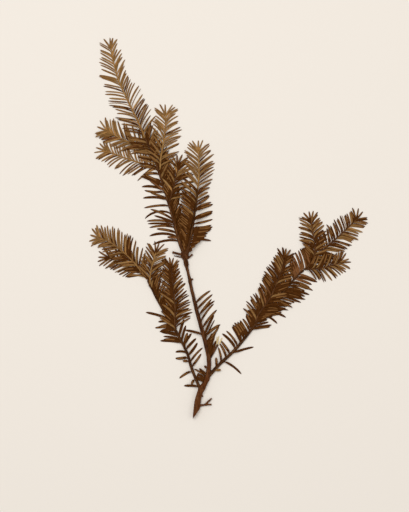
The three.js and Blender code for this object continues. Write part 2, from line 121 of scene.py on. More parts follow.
class Line:
    """A smooth line through points of the plan that lies on its underside, with a thickness."""

    SAMPLES = 40
    REACH = 0.0005

    def __init__(self, points, thick):
        knots = np.array([to_place(*p) for p in points])
        knots = np.vstack([2 * knots[0] - knots[1], knots, 2 * knots[-1] - knots[-2]])
        t = np.linspace(0, 1, self.SAMPLES, endpoint=False)[:, None]
        runs = []
        for a, b, c, d in zip(knots, knots[1:], knots[2:], knots[3:]):
            run = 2 * b + (c - a) * t
            run = run + (2 * a - 5 * b + 4 * c - d) * t**2
            run = run + (3 * b - a - 3 * c + d) * t**3
            runs.append(0.5 * run)
        self.points = np.vstack([*runs, knots[-2:-1]])
        steps = np.linalg.norm(np.diff(self.points, axis=0), axis=1)
        self.s = np.concatenate([[0], np.cumsum(steps)])
        self.length = self.s[-1]
        self.thick = np.array(thick) * MM
        self.points[:, 2] += self.radius(self.s)

    def radius(self, s):
        share = np.linspace(0, self.length, len(self.thick))
        return np.interp(s, share, self.thick) / 2

    def at(self, s):
        return np.array([np.interp(s, self.s, self.points[:, k]) for k in range(3)]).T

    def heading(self, s):
        ahead = self.at(min(s + self.REACH, self.length)) - self.at(max(s - self.REACH, 0))
        return math.atan2(ahead[1], ahead[0])

    def station(self, y):
        """Where the line passes a height y of the plan."""
        return float(self.s[np.argmin(np.abs(self.points[:, 1] - to_place(0, y)[1]))])


def extrude_limb(name, line, step, sides):
    """A round limb drawn out of a circle, station by station, along its line."""
    bpy.ops.object.select_all(action="DESELECT")
    stations = np.linspace(0, line.length, max(3, round(line.length / step)))
    heading = line.heading(0)
    bpy.ops.mesh.primitive_circle_add(
        vertices=sides,
        radius=line.radius(0),
        fill_type="NGON",
        location=line.at(0),
        rotation=(-math.pi / 2, 0, heading - math.pi / 2),
    )
    limb = bpy.context.object
    limb.name = limb.data.name = name
    bpy.ops.object.mode_set(mode="EDIT")
    bpy.ops.mesh.select_all(action="SELECT")
    for here, there in zip(stations, stations[1:]):
        place = line.at(there)
        bpy.ops.mesh.extrude_region_move(TRANSFORM_OT_translate={"value": tuple(place - line.at(here))})
        turn = line.heading(there) - heading
        heading += turn
        bpy.ops.transform.rotate(value=-turn, orient_axis="Z", center_override=tuple(place))
        growth = line.radius(there) / line.radius(here)
        bpy.ops.transform.resize(value=(growth,) * 3, center_override=tuple(place))
    bpy.ops.object.mode_set(mode="OBJECT")
    bpy.ops.object.transform_apply(location=True, rotation=True, scale=True)
    return limb


def stub_line(x, y, towards, long, foot, tip):
    """The line of a broken stub."""
    turn = math.radians(towards)
    end = (x + long * math.cos(turn), y + long * math.sin(turn))
    middle = ((x + end[0]) / 2, (y + end[1]) / 2)
    return Line([(x, y, STUB_LIFT), (*middle, STUB_LIFT), (*end, STUB_LIFT)], (foot, tip))


def add_collar(place, radius, heading, stretch):
    """A swelling of the wood where a limb leaves it."""
    bpy.ops.mesh.primitive_uv_sphere_add(segments=16, ring_count=10, radius=radius, location=place)
    collar = bpy.context.object
    collar.scale = (stretch, 1, COLLAR_FLATNESS)
    collar.rotation_euler = (0, 0, heading)
    bpy.ops.object.transform_apply(location=True, rotation=True, scale=True)
    return collar


def pick(pieces):
    """Selects pieces for what is done next, the first of them as the active one."""
    bpy.ops.object.select_all(action="DESELECT")
    for piece in pieces:
        piece.select_set(True)
    bpy.context.view_layer.objects.active = pieces[0]


def join(pieces, name):
    """Joins pieces into the first of them."""
    pick(pieces)
    if len(pieces) > 1:
        bpy.ops.object.join()
    pieces[0].name = pieces[0].data.name = name
    return pieces[0]


def fuse_wood(limb, voxel):
    """Grows the joined pieces together into one skin and eases the creases between them."""
    fused = limb.modifiers.new("grown together", "REMESH")
    fused.mode = "VOXEL"
    fused.voxel_size = voxel * MM
    bpy.ops.object.modifier_apply(modifier=fused.name)
    eased = limb.modifiers.new("eased", "SMOOTH")
    eased.factor = 0.5
    eased.iterations = 4
    bpy.ops.object.modifier_apply(modifier=eased.name)


def wrinkle_bark(limb, heading, wrinkles):
    """Raises dried bark on a limb, one layer of wrinkles after another."""
    grain = bpy.data.objects.new("grain", None)
    bpy.context.scene.collection.objects.link(grain)
    grain.rotation_euler = (0, 0, heading)
    for kind, size, stretch, height in wrinkles:
        grain.scale = (stretch, 1, 1)
        bpy.context.view_layer.update()
        noise = bpy.data.textures.new(limb.name + " wrinkles", kind)
        noise.noise_scale = size * MM
        raised = limb.modifiers.new("wrinkles", "DISPLACE")
        raised.texture = noise
        raised.texture_coords = "OBJECT"
        raised.texture_coords_object = grain
        raised.strength = height * MM
        raised.mid_level = WRINKLE_LEVEL
        bpy.ops.object.modifier_apply(modifier=raised.name)
        bpy.data.textures.remove(noise)
    bpy.data.objects.remove(grain)


def open_group(name, inputs):
    """A new shader group that gives a colour, a roughness and a height, with its two end nodes."""
    group = bpy.data.node_groups.new(name, "ShaderNodeTree")
    for kind, title, value in inputs:
        socket = group.interface.new_socket(title, in_out="INPUT", socket_type="NodeSocket" + kind)
        socket.default_value = value
    for kind, title in (("Color", "Color"), ("Float", "Roughness"), ("Float", "Height")):
        group.interface.new_socket(title, in_out="OUTPUT", socket_type="NodeSocket" + kind)
    return group, group.nodes.new("NodeGroupInput"), group.nodes.new("NodeGroupOutput")


def node(tree, kind, **values):
    """A shader node with its settings, and its inputs given by name."""
    made = tree.nodes.new("ShaderNode" + kind)
    for name, value in values.items():
        if name in made.inputs:
            made.inputs[name].default_value = value
        else:
            setattr(made, name, value)
    return made


def noise_of(tree, vector, scale, detail):
    """A noise pattern's value."""
    noise = node(tree, "TexNoise", Scale=scale, Detail=detail, Roughness=0.55)
    tree.links.new(vector, noise.inputs["Vector"])
    return noise.outputs["Fac"]


def between(tree, value, low, high, to_low, to_high):
    """A value taken from one range to another."""
    spread = node(tree, "MapRange")
    for name, bound in (("From Min", low), ("From Max", high), ("To Min", to_low), ("To Max", to_high)):
        spread.inputs[name].default_value = bound
    tree.links.new(value, spread.inputs["Value"])
    return spread.outputs["Result"]


def blend_colours(tree, mask, first, second):
    """Two colours mixed by a mask. A colour is a socket."""
    mixed = node(tree, "Mix", data_type="RGBA")
    tree.links.new(mask, mixed.inputs["Factor"])
    tree.links.new(first, mixed.inputs["A"])
    tree.links.new(second, mixed.inputs["B"])
    return mixed.outputs["Result"]


def make_bark_group():
    """Dried bark: long wrinkles with dark cracks, paler flakes and a slow change along the limb."""
    inputs = [
        ("Vector", "Vector", (0, 0, 0)),
        ("Color", "Bark", (0.1, 0.04, 0.02, 1)),
        ("Color", "Flake", (0.2, 0.1, 0.05, 1)),
        ("Color", "Crack", (0.02, 0.01, 0.006, 1)),
        ("Float", "Stretch", 0.16),
    ]
    group, given, result = open_group("dried bark", inputs)
    split = node(group, "SeparateXYZ")
    group.links.new(given.outputs["Vector"], split.inputs["Vector"])
    squeezed = node(group, "Math", operation="MULTIPLY")
    group.links.new(split.outputs["X"], squeezed.inputs[0])
    group.links.new(given.outputs["Stretch"], squeezed.inputs[1])
    grain = node(group, "CombineXYZ")
    group.links.new(squeezed.outputs["Value"], grain.inputs["X"])
    group.links.new(split.outputs["Y"], grain.inputs["Y"])
    group.links.new(split.outputs["Z"], grain.inputs["Z"])
    strands = noise_of(group, grain.outputs["Vector"], scale=1500, detail=5)
    flakes = noise_of(group, grain.outputs["Vector"], scale=620, detail=3)
    drift = noise_of(group, given.outputs["Vector"], scale=90, detail=2)
    flaked = between(group, flakes, 0.48, 0.62, 0, 0.9)
    drifted = between(group, drift, 0.45, 0.75, 0, 0.35)
    cracked = between(group, strands, 0.5, 0.34, 0, 0.85)
    colour = blend_colours(group, flaked, given.outputs["Bark"], given.outputs["Flake"])
    colour = blend_colours(group, drifted, colour, given.outputs["Flake"])
    colour = blend_colours(group, cracked, colour, given.outputs["Crack"])
    group.links.new(colour, result.inputs["Color"])
    group.links.new(between(group, flakes, 0.3, 0.7, 0.85, 0.6), result.inputs["Roughness"])
    group.links.new(between(group, strands, 0.3, 0.7, 0, 1), result.inputs["Height"])
    return group


BARK_GROUP = make_bark_group()


def new_material(name, specular):
    """A new material, its nodes and its shader."""
    material = bpy.data.materials.new(name)
    material.use_nodes = True
    shader = material.node_tree.nodes["Principled BSDF"]
    shader.inputs["Specular IOR Level"].default_value = specular
    return material, material.node_tree, shader


def wear_pattern(tree, shader, group, vector, colours, strength, relief):
    """Gives a shader a group's colour, roughness and raised pattern."""
    pattern = tree.nodes.new("ShaderNodeGroup")
    pattern.node_tree = group
    for name, colour in colours.items():
        pattern.inputs[name].default_value = (*colour, 1)
    tree.links.new(vector, pattern.inputs["Vector"])
    bump = node(tree, "Bump", Strength=strength, Distance=relief * MM)
    tree.links.new(pattern.outputs["Height"], bump.inputs["Height"])
    tree.links.new(pattern.outputs["Color"], shader.inputs["Base Color"])
    tree.links.new(pattern.outputs["Roughness"], shader.inputs["Roughness"])
    tree.links.new(bump.outputs["Normal"], shader.inputs["Normal"])
    return pattern


def bark_material(name, heading, bark, flake, crack, relief, foot=None):
    """Bark whose grain runs at a heading of the plan. A stem's bark may be redder at its foot."""
    material, tree, shader = new_material(name, specular=0.06)
    place = node(tree, "TexCoord")
    turned = node(tree, "Mapping", vector_type="TEXTURE")
    turned.inputs["Rotation"].default_value = (0, 0, heading)
    tree.links.new(place.outputs["Object"], turned.inputs["Vector"])
    colours = {"Bark": bark, "Flake": flake, "Crack": crack}
    turned = turned.outputs["Vector"]
    pattern = wear_pattern(tree, shader, BARK_GROUP, turned, colours, strength=0.7, relief=relief)
    if foot is not None:
        split = node(tree, "SeparateXYZ")
        tree.links.new(place.outputs["Object"], split.inputs["Vector"])
        upper, red = node(tree, "RGB"), node(tree, "RGB")
        upper.outputs["Color"].default_value = (*bark, 1)
        red.outputs["Color"].default_value = (*foot, 1)
        low = between(tree, split.outputs["Y"], *RED_FOOT, 0, 1)
        reddened = blend_colours(tree, low, upper.outputs["Color"], red.outputs["Color"])
        tree.links.new(reddened, pattern.inputs["Bark"])
    return material


def ramp_colours(tree, value, low, high, first, second):
    """A colour that goes from a first to a second as a value goes from low to high."""
    ramp = node(tree, "ValToRGB")
    ramp.color_ramp.elements[0].color = (*first, 1)
    ramp.color_ramp.elements[1].color = (*second, 1)
    tree.links.new(between(tree, value, low, high, 0, 1), ramp.inputs["Fac"])
    return ramp.outputs["Color"]


def cut_wood_material(centre):
    """The pale wood of the slanting cut, with growth rings and a dark pith."""
    material, tree, shader = new_material("cut wood", specular=0.2)
    shader.inputs["Roughness"].default_value = 0.8
    place = node(tree, "TexCoord")
    moved = node(tree, "Mapping", vector_type="TEXTURE")
    moved.inputs["Location"].default_value = centre
    moved.inputs["Scale"].default_value = (1, 2, 1)
    tree.links.new(place.outputs["Object"], moved.inputs["Vector"])
    away = node(tree, "VectorMath", operation="LENGTH")
    tree.links.new(moved.outputs["Vector"], away.inputs[0])
    waves = node(tree, "Math", operation="SINE")
    scaled = node(tree, "Math", operation="MULTIPLY")
    scaled.inputs[1].default_value = RING_PITCH
    tree.links.new(away.outputs["Value"], scaled.inputs[0])
    tree.links.new(scaled.outputs["Value"], waves.inputs[0])
    away = away.outputs["Value"]
    rings = ramp_colours(tree, waves.outputs["Value"], -1, 1, (0.16, 0.085, 0.04), (0.3, 0.19, 0.1))
    pith = ramp_colours(tree, away, 0.0002, 0.0005, (0.06, 0.03, 0.015), (0.24, 0.15, 0.08))
    wood = blend_colours(tree, between(tree, away, 0.0003, 0.0006, 0, 1), pith, rings)
    tree.links.new(wood, shader.inputs["Base Color"])
    return material


def cut_foot(stem, centre, wood):
    """Takes the stem's foot off on the slant with a block, and gives the cut its wood."""
    normal = Vector((math.cos(CUT_TURN), math.sin(CUT_TURN), 0))
    down = Vector((math.sin(CUT_TURN), -math.cos(CUT_TURN), 0))
    place = centre + (normal * SAW_BLOCK / 2 + down * (SAW_BLOCK / 2 - CUT_RISE)) * MM
    bpy.ops.mesh.primitive_cube_add(size=SAW_BLOCK * MM, location=place, rotation=(0, 0, CUT_TURN))
    block = bpy.context.object
    bpy.context.view_layer.objects.active = stem
    cut = stem.modifiers.new("cut", "BOOLEAN")
    cut.operation = "DIFFERENCE"
    cut.object = block
    bpy.ops.object.modifier_apply(modifier=cut.name)
    bpy.data.objects.remove(block)
    stem.data.materials.append(wood)
    for face in stem.data.polygons:
        off_plane = abs((face.center - centre).dot(normal))
        if face.normal.dot(normal) > CUT_FACING and off_plane < CUT_DEPTH * MM:
            face.material_index = 1


def rest_on_surface(limb):
    """Presses what the wrinkles pushed below the surface back up to it."""
    for vertex in limb.data.vertices:
        vertex.co.z = max(vertex.co.z, 0)


stem_line = Line(STEM_POINTS, STEM_THICKNESS)
lines = {"main_stem": stem_line}
stem_parts = [extrude_limb("main stem", stem_line, STEM_STATION * MM, LIMB_SIDES)]
for number, stub in enumerate(STEM_STUBS):
    stem_parts.append(extrude_limb(f"stub {number}", stub_line(*stub), STUB_STATION * MM, STUB_SIDES))
for y, swell, stretch in STEM_COLLARS:
    s = stem_line.station(y)
    stem_parts.append(add_collar(stem_line.at(s), swell * MM, stem_line.heading(s), stretch))
stem = join(stem_parts, "main_stem_bark")
fuse_wood(stem, STEM_VOXEL)
wrinkle_bark(stem, STEM_GRAIN, STEM_WRINKLES)
rest_on_surface(stem)
stem_bark = bark_material("stem bark", STEM_GRAIN, relief=0.3, foot=FOOT_BARK, **STEM_BARK)
stem.data.materials.append(stem_bark)
cut_centre = Vector(to_place(*CUT_POINT))
cut_foot(stem, cut_centre, cut_wood_material(cut_centre))
pick([stem])
bpy.ops.object.shade_smooth_by_angle(angle=BARK_SMOOTH)
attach(stem, "root")
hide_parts("main_stem")

# Left and right bough
# The two woody side limbs that leave the stem low down, one on each side, and thin out towards
# their leafy tips. They are of the same wood and bark as the stem, and grow out of its swellings.

# Each bough: its line in the plan, its thickness at foot and end, and y and radius of its swellings.
BOUGHS = {
    "left_bough": {
        "points": [
            (-24.6, -137.5), (-31.8, -119.7), (-35.6, -107), (-44.1, -90), (-52.6, -76.5),
            (-61.1, -61.2), (-69, -45.5),
        ],
        "thick": (2.8, 1.8),
        "collars": ((-89, 1.35), (-50, 1.25)),
    },
    "right_bough": {
        "points": [
            (-18.7, -128.2), (-9.3, -117.7), (5.3, -103.8), (16.5, -90.4), (22.6, -82.1),
            (27.6, -73.3), (34.8, -65), (44.1, -57), (57.8, -41.6), (63, -37),
        ],
        "thick": (3.2, 1.7),
        "collars": ((-82, 1.5), (-38, 1.2)),
    },
}
BOUGH_STATION = 2.4
BOUGH_VOXEL = 0.17
BOUGH_COLLAR_STRETCH = 1.7
BOUGH_BARK = {"bark": (0.052, 0.018, 0.005), "flake": (0.125, 0.052, 0.017), "crack": (0.014, 0.004, 0.001)}
BOUGH_WRINKLES = [("CLOUDS", 2.6, 2.5, 0.3), ("CLOUDS", 0.7, 7, 0.3), ("STUCCI", 0.4, 3, 0.08)]

for name, bough in BOUGHS.items():
    line = lines[name] = Line(bough["points"], bough["thick"])
    parts = [extrude_limb(name, line, BOUGH_STATION * MM, LIMB_SIDES)]
    for y, swell in bough["collars"]:
        s = line.station(y)
        parts.append(add_collar(line.at(s), swell * MM, line.heading(s), BOUGH_COLLAR_STRETCH))
    limb = join(parts, name + "_bark")
    fuse_wood(limb, BOUGH_VOXEL)
    heading = math.atan2(*(line.at(line.length) - line.at(0))[1::-1])
    wrinkle_bark(limb, heading, BOUGH_WRINKLES)
    rest_on_surface(limb)
    bark = bark_material(name.replace("_", " ") + " bark", heading, relief=0.25, **BOUGH_BARK)
    limb.data.materials.append(bark)
    bpy.ops.object.shade_smooth_by_angle(angle=BARK_SMOOTH)
    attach(limb, "root")
    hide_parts(name)

# Rows of needles on the bare limbs
# Older needles still stand singly on the sides of the stem and boughs. Each is a flat, narrow blade
# on a short stalk that runs down the bark, and pressing has laid it on whatever was under it.

NEEDLE_SPACING = 2.8
NEEDLE_WIDTH = 1.86
NEEDLE_THICKNESS = 0.3
STALK_LENGTH = 1.8
PATH_STEP = 0.2
CELL = 0.3
PLAN_MARGIN = 4
STRIP_WIDTH = 0.1
LIMB_STRIPS = 13

# How a needle leaves its twig: how near the twig's foot it may stand, the length over which it turns away,
# the share of the turn it has at once and the exponent of the rest. Its stalk lies back along the twig by
# a share of itself, beside it by a share of the twig's radius, and roots within shares of that radius
# above the twig's middle.
NEAREST_FOOT = 0.3
LEAVING_LENGTH = 4.2
LEAVING_SHARE = 0.25
LEAVING_POWER = 0.8
STALK_BACK = 0.7
STALK_ASIDE = 0.75
ROOT_HEIGHT = (-0.2, 0.45)

# How a needle is pressed: the steepest it lies, the length over which it settles, the share of its width
# that bears, and how far its tip may stay up.
BLADE_SLOPE = 0.3
ROOT_EASE = 2.5
BEARING_WIDTH = 0.8
TIP_LIFT = 1.6

# How needles stray from their rule: along the twig, in degrees, in length, in width and in tone. The next
# are the range of their bend, the spread of their roll, and how many stand on edge and how far.
STRAY_ALONG = 0.55
STRAY_DEG = 4.5
STRAY_SIZE = (0.84, 1.08)
STRAY_WIDTH = (0.85, 1.12)
STRAY_TONE = 0.42
BEND = (-0.05, 0.55)
ROLL = 0.2
EDGE_ON = 0.05
EDGE_ON_ROLL = 0.9

# Widths as shares of NEEDLE_WIDTH: on young shoots, on older ones, where a needle stands singly, and of a
# torn fibre.
YOUNG_WIDTH = 0.8
OLD_WIDTH = 0.9
SINGLE_WIDTH = 1.18
FIBRE_WIDTH = 0.55

# Every other needle of a side lies lower. Painted light and shade give the upper needles a lighter tone and
# the lower ones a darker tone, as if shaded by the needles over them: the shares added to the upper and
# lower tones.
UNDER_SHADE_TONES = (-0.28, 0.18)

# Where the first needle of a side stands, as a share of the spacing, so that the sides alternate.
SIDE_STARTS = {1: 0.3, -1: 0.7}

# How the needles of a side grow: their lengths, angles and tones at even steps from foot to end, their
# spacing as a share of NEEDLE_SPACING, a bare stretch at the foot, and the share of russet ones.
Rule = namedtuple("Rule", "long angle tone spacing bare russet", defaults=(1, 0, 0))

# Each row stands on the left side (1) or the right side (-1) of a limb. Its needles grow by a rule between
# two y of the plan, or are placed one by one in "each": the y of the foot, length, angle, bend, and where
# it is not picked near the row's "tone", the colour.
ROWS = {
    "stem_right_needles": {
        "along": "main_stem",
        "side": -1,
        "each": [
            (-109.5, 13.5, 32, -0.1, "umber"), (-108.1, 12, 26, 0.2, "brown"),
            (-106.4, 14.9, 31, 0.2, "umber"), (-103.7, 16, 34, 0, "umber"),
            (-102.2, 13, 42, 0.1, "brown"), (-100.8, 11, 37, 0.3, "umber"),
            (-99.4, 13.6, 48, -0.3, "brown"), (-97.4, 16.9, 53, -0.5, "brown"),
            (-94.5, 17, 42, 0, "umber"), (-92.8, 16, 69, 0.3, "brown"),
            (-91, 18, 42, 0.2, "umber"), (-85.6, 18.9, 55, 0.2, "brown"),
            (-80.6, 18.2, 53, 0.3, "brown"), (-74.6, 17.6, 64, 0.3, "umber"),
            (-74.9, 16.7, 54, 0, "brown"), (-69.6, 17.4, 62, 0.1, "brown"),
            (-65.1, 16, 65, 0.3, "brown"),
        ],
    },
    "stem_left_needles": {
        "along": "main_stem",
        "side": 1,
        "each": [
            (-131.6, 6, 104, 0.3, "umber"), (-130.4, 7, 96, 0, "umber"),
            (-128.8, 6.4, 71, -0.6, "umber"), (-126.8, 11.4, 73, 0.1, "brown"),
            (-124.5, 7.2, 64, -0.8, "umber"), (-119.9, 3, 57, -0.1, "umber"),
            (-90.6, 14.4, 63, 0.2),
        ],
        "tone": 2.5,
    },
    "left_bough_outer_needles": {
        "along": "left_bough",
        "side": 1,
        "each": [
            (-134.6, 11.6, 69, 0.2), (-128.1, 4.8, 137, -0.6), (-122.3, 11.8, 103, 0.2),
            (-113.4, 4.2, 84, -0.5), (-110.4, 10, 80, -0.5), (-106.4, 8.8, 70, 0.7),
            (-97.5, 17.5, 60, 0.2), (-96.2, 14, 60, 0.3), (-94.6, 13.4, 56, 0.2),
            (-92, 14.4, 50, 0.1), (-90, 11, 62, 0.3), (-87.6, 12.5, 66, 0.2), (-86, 11, 70, 0.2),
            (-84.3, 14.4, 62, 0.1), (-82.4, 10.5, 74, 0.3), (-80.2, 9, 60, 0.2),
            (-77.2, 18.4, 44, 0.2),
        ],
        "tone": 2.4,
    },
    "left_bough_lower_needles": {
        "along": "left_bough",
        "side": -1,
        "each": [
            (-128.7, 4.6, 40, -0.4), (-118.7, 12.9, 55, -0.2), (-114.3, 15.2, 57, 0.2),
            (-108.7, 12.4, 56, -0.4), (-103.7, 12, 70, 0), (-100.8, 10.8, 41, 0.2),
            (-100.5, 11.2, 61, 0.1), (-96.4, 12.5, 44, 0.1), (-92.6, 14, 46, 0.1),
        ],
        "tone": 2.5,
    },
    "left_bough_inner_needles": {
        "along": "left_bough",
        "side": -1,
        "between": (-86, -50),
        "rule": Rule((17, 17, 16), (56, 48, 44), (2.7, 2.5), 0.56),
    },
    "right_bough_foot_needles": {
        "along": "right_bough",
        "side": -1,
        "each": [(-120.8, 4.4, 48, 0, "olive"), (-113.4, 18.1, 81, 0.4), (-105.8, 17.6, 30, 0.1)],
        "tone": 2.7,
    },
    "right_bough_lower_needles": {
        "along": "right_bough",
        "side": 1,
        "each": [
            (-118.5, 7, 48, 0.2), (-114.7, 12, 59, 0.4), (-110.8, 12, 74, 0.3),
            (-107.9, 12.6, 83, 0.1), (-103.3, 16.4, 87, 0.5), (-101.2, 15.6, 80, 0.4),
            (-98.3, 14.8, 70, 0.3), (-97.8, 16.8, 49, 0.1), (-97.7, 15.8, 67, 0.6),
            (-94.8, 15, 72, 0.3), (-92.7, 13.2, 71, 0.2), (-91.6, 12.8, 66, 0.2),
            (-90.5, 11.1, 77, -0.1), (-88.7, 11.6, 70, 0.3), (-86.7, 11.6, 62, 0.3),
            (-85, 12, 64, 0.2),
        ],
        "tone": 2.2,
    },
    "right_bough_inner_needles": {
        "along": "right_bough",
        "side": 1,
        "between": (-80, -46),
        "rule": Rule((9, 12.5, 15.5, 14.5), (56, 60, 62, 66), (2.7, 2.2), 0.5, russet=0.2),
        "each": [
            (-44.6, 12, 66, 0.1), (-43.4, 12.4, 66, 0.2, "russet"), (-42, 13.6, 68, 0.2, "russet"),
            (-40.8, 14.6, 70, 0.25, "russet"), (-39.6, 16.4, 71, 0.3, "russet"),
            (-38.3, 17, 72, 0.35, "russet"), (-37, 17, 64, 0.3, "russet"),
            (-84.2, 14, 54, 0.1, "umber"), (-83.2, 13.4, 52, 0.1, "brown"),
            (-82, 12.6, 55, 0.1, "umber"),
        ],
        "tone": 2.7,
    },
    "right_bough_outer_needles": {
        "along": "right_bough",
        "side": -1,
        "between": (-72, -46),
        "rule": Rule((16, 16, 15), (52, 60, 66), (2.9, 2.5), 0.62),
        "each": [
            (-86.1, 14.2, 48, 0.2), (-85.2, 15, 46, 0), (-83.1, 11.2, 43, 0),
            (-80.6, 8.4, 47, 0.1), (-78.4, 12, 50, 0.1), (-75.7, 17.4, 55, 0),
            (-74.1, 15.4, 90, 0.6), (-72.5, 20.4, 67, 0.8), (-71.5, 15, 55, -0.3),
            (-68.9, 16.2, 46, -0.8), (-58.2, 18.4, 63, 0.2), (-57.7, 21, 55, 0.1),
            (-53.9, 17.4, 65, 0.1), (-52, 19.8, 65, 0.1), (-45.9, 18.4, 75, 0),
            (-43.6, 14.5, 70, 0.1, "russet"), (-42.1, 17.6, 63, 0.1),
            (-40.1, 15.4, 68, 0.2, "russet"),
        ],
        "tone": 2.9,
    },
}

# Pale fibres at the torn end of a stub: the stub's number, and each fibre's side, way back from the
# end, length and angle.
TORN_STUB = 8
TORN_FIBRES = [(1, 0.8, 6.6, 30), (1, 0.6, 7.4, 17), (-1, 0.4, 6.8, -3)]

# The tones of dried needles, from the youngest to the oldest.
TONES = ("gold", "olive", "brown", "umber")

needles = {tone: [] for tone in (*TONES, "russet", "straw")}
covered = {tone: set() for tone in needles}
chance = random.Random(2024)


class Pile:
    """How high the plant lies so far above the surface, kept on a grid of small cells."""

    def __init__(self, low, high):
        self.low = np.array(low)[:2] - PLAN_MARGIN * MM
        cells = (np.array(high)[:2] + PLAN_MARGIN * MM - self.low) / (CELL * MM)
        self.height = np.zeros(np.ceil(cells).astype(int) + 1)

    def cells(self, places):
        index = ((places[:, :2] - self.low) / (CELL * MM)).astype(int)
        return tuple(np.clip(index, 0, np.array(self.height.shape) - 1).T)

    def top(self, places, left, half_width):
        """The highest of what lies under a strip."""
        return np.max([self.height[self.cells(places + left * k * half_width)] for k in (-1, 0, 1)], axis=0)

    def lay(self, places, left, half_width, rise):
        """Lays a strip on the pile. Its top is flat over its width."""
        for k in np.linspace(-1, 1, 5):
            np.maximum.at(self.height, self.cells(places + left * k * half_width), places[:, 2] + rise)


def rest(places, s, left, half_width, half_thickness, slope, root_height):
    """The heights of a stiff strip that hangs on its root and rests on what lies under it."""
    under = pile.top(places, left, half_width) + half_thickness
    under = under[:, None] - slope * np.abs(s[:, None] - s[None, :])
    height = np.maximum(under.max(axis=0), root_height - slope * s)
    ease = np.clip(s / (ROOT_EASE * MM), 0, 1)
    ease = ease * ease * (3 - 2 * ease)
    return root_height + (height - root_height) * ease


def grow_needle(owner, line, s, side, turn, long, tone, bend, wide):
    """A needle that leaves its twig at s, on its side 1 or -1, turned from it by an angle."""
    s = min(max(s, NEAREST_FOOT * MM), line.length)
    root = line.at(s)
    heading = line.heading(s)
    radius = line.radius(s)
    roll = chance.gauss(0, ROLL)
    if chance.random() < EDGE_ON:
        roll += chance.choice((-1, 1)) * EDGE_ON_ROLL
    total = STALK_LENGTH * MM + long * MM
    path_s = np.arange(0, total, PATH_STEP * MM)
    leaving = np.clip(path_s / (LEAVING_LENGTH * MM), 0, 1) ** LEAVING_POWER
    leaving = LEAVING_SHARE + (1 - LEAVING_SHARE) * leaving
    along = np.clip((path_s - STALK_LENGTH * MM) / (long * MM), 0, 1)
    course = heading + side * (math.radians(turn) * leaving + bend * (along - 0.5) * leaving)
    steps = np.stack([np.cos(course), np.sin(course)], axis=1) * PATH_STEP * MM
    left = np.stack([-np.sin(course), np.cos(course), np.zeros_like(course)], axis=1)
    start = root[:2] - steps[0] / np.linalg.norm(steps[0]) * STALK_LENGTH * MM * STALK_BACK
    start = start + left[0, :2] * side * radius * STALK_ASIDE
    plan = start + np.vstack([[0, 0], np.cumsum(steps, axis=0)[:-1]])
    places = np.column_stack([plan, np.zeros(len(plan))])
    bearing = NEEDLE_WIDTH * MM / 2 * BEARING_WIDTH
    half_thickness = NEEDLE_THICKNESS * MM / 2
    root_height = root[2] + chance.uniform(*ROOT_HEIGHT) * radius
    places[:, 2] = rest(places, path_s, left, bearing, half_thickness, BLADE_SLOPE, root_height)
    places[:, 2] += np.clip(along - 0.5, 0, 1) ** 2 * chance.uniform(0, TIP_LIFT) * MM
    pile.lay(places, left, bearing, half_thickness)
    width = NEEDLE_WIDTH * chance.uniform(*STRAY_WIDTH) * wide
    needles[tone].append({"places": places, "s": path_s, "roll": roll, "width": width * MM})
    covered[tone].add(owner)


def pick_tone(value, russet):
    """A tone near a value on the scale from young to old, or now and then russet."""
    if chance.random() < russet:
        return "russet"
    step = round(chance.gauss(value, STRAY_TONE))
    return TONES[min(max(step, 0), len(TONES) - 1)]


def mix(values, u):
    """The value at a share u of the way along evenly spaced values."""
    return float(np.interp(u, np.linspace(0, 1, len(values)), values))


def grow_side(owner, line, foot, to, side, rule, wide):
    """The needles of one side, from a foot to an end of the line. Narrower ones stand closer."""
    foot += rule.bare * MM
    count = max(2, round((to - foot) / (NEEDLE_SPACING * rule.spacing * wide * MM)))
    for i in (*range(1, count, 2), *range(0, count, 2)):
        u = (i + SIDE_STARTS[side]) / count
        s = foot + (to - foot) * u + chance.uniform(-1, 1) * STRAY_ALONG * MM
        turn = mix(rule.angle, u) + chance.gauss(0, STRAY_DEG)
        long = mix(rule.long, u) * chance.uniform(*STRAY_SIZE)
        bend = chance.uniform(*BEND)
        # Painted shade: the lower needles of a side take a darker tone, and the upper ones a lighter tone.
        tone = pick_tone(mix(rule.tone, u) * (1 + UNDER_SHADE_TONES[i % 2]), rule.russet)
        grow_needle(owner, line, s, side, turn, long, tone, bend, wide)


def leftwards(places):
    """The way to the left of a path in the plan, at each of its places."""
    steps = np.gradient(places[:, :2], axis=0)
    steps /= np.linalg.norm(steps, axis=1)[:, None]
    return np.column_stack([-steps[:, 1], steps[:, 0], np.zeros(len(steps))])


def lay_limb(line, start, strips):
    """Adds a limb to the pile as strips side by side, so that what is laid over it rests on it."""
    s = np.arange(start, line.length, PATH_STEP * MM)
    places = line.at(s)
    left = leftwards(places)
    radius = line.radius(s)
    for k in np.linspace(-1, 1, strips):
        shifted = places + left * (k * radius)[:, None]
        pile.lay(shifted, left, STRIP_WIDTH * MM, radius * math.sqrt(1 - k * k))


pile = Pile(*CAD_BOX)
for line in lines.values():
    lay_limb(line, 0, LIMB_STRIPS)

for name, row in ROWS.items():
    line = lines[row["along"]]
    if "rule" in row:
        foot, to = (line.station(y) for y in row["between"])
        grow_side(name, line, foot, to, row["side"], row["rule"], OLD_WIDTH)
    for y, long, angle, bend, *given in row.get("each", []):
        tone = given[0] if given else pick_tone(row["tone"], 0)
        grow_needle(name, line, line.station(y), row["side"], angle, long, tone, bend, SINGLE_WIDTH)

torn = stub_line(*STEM_STUBS[TORN_STUB])
for side, back, long, turn in TORN_FIBRES:
    s = torn.length - back * MM
    grow_needle("stem_right_needles", torn, s, side, turn, long, "straw", 0, FIBRE_WIDTH)

# Leader and its side shoots
# The stem goes on as a leafy leader that leans to the left and ends in this year's growth. It bears
# two shoots on its left and two on its right, pressed over and under each other.

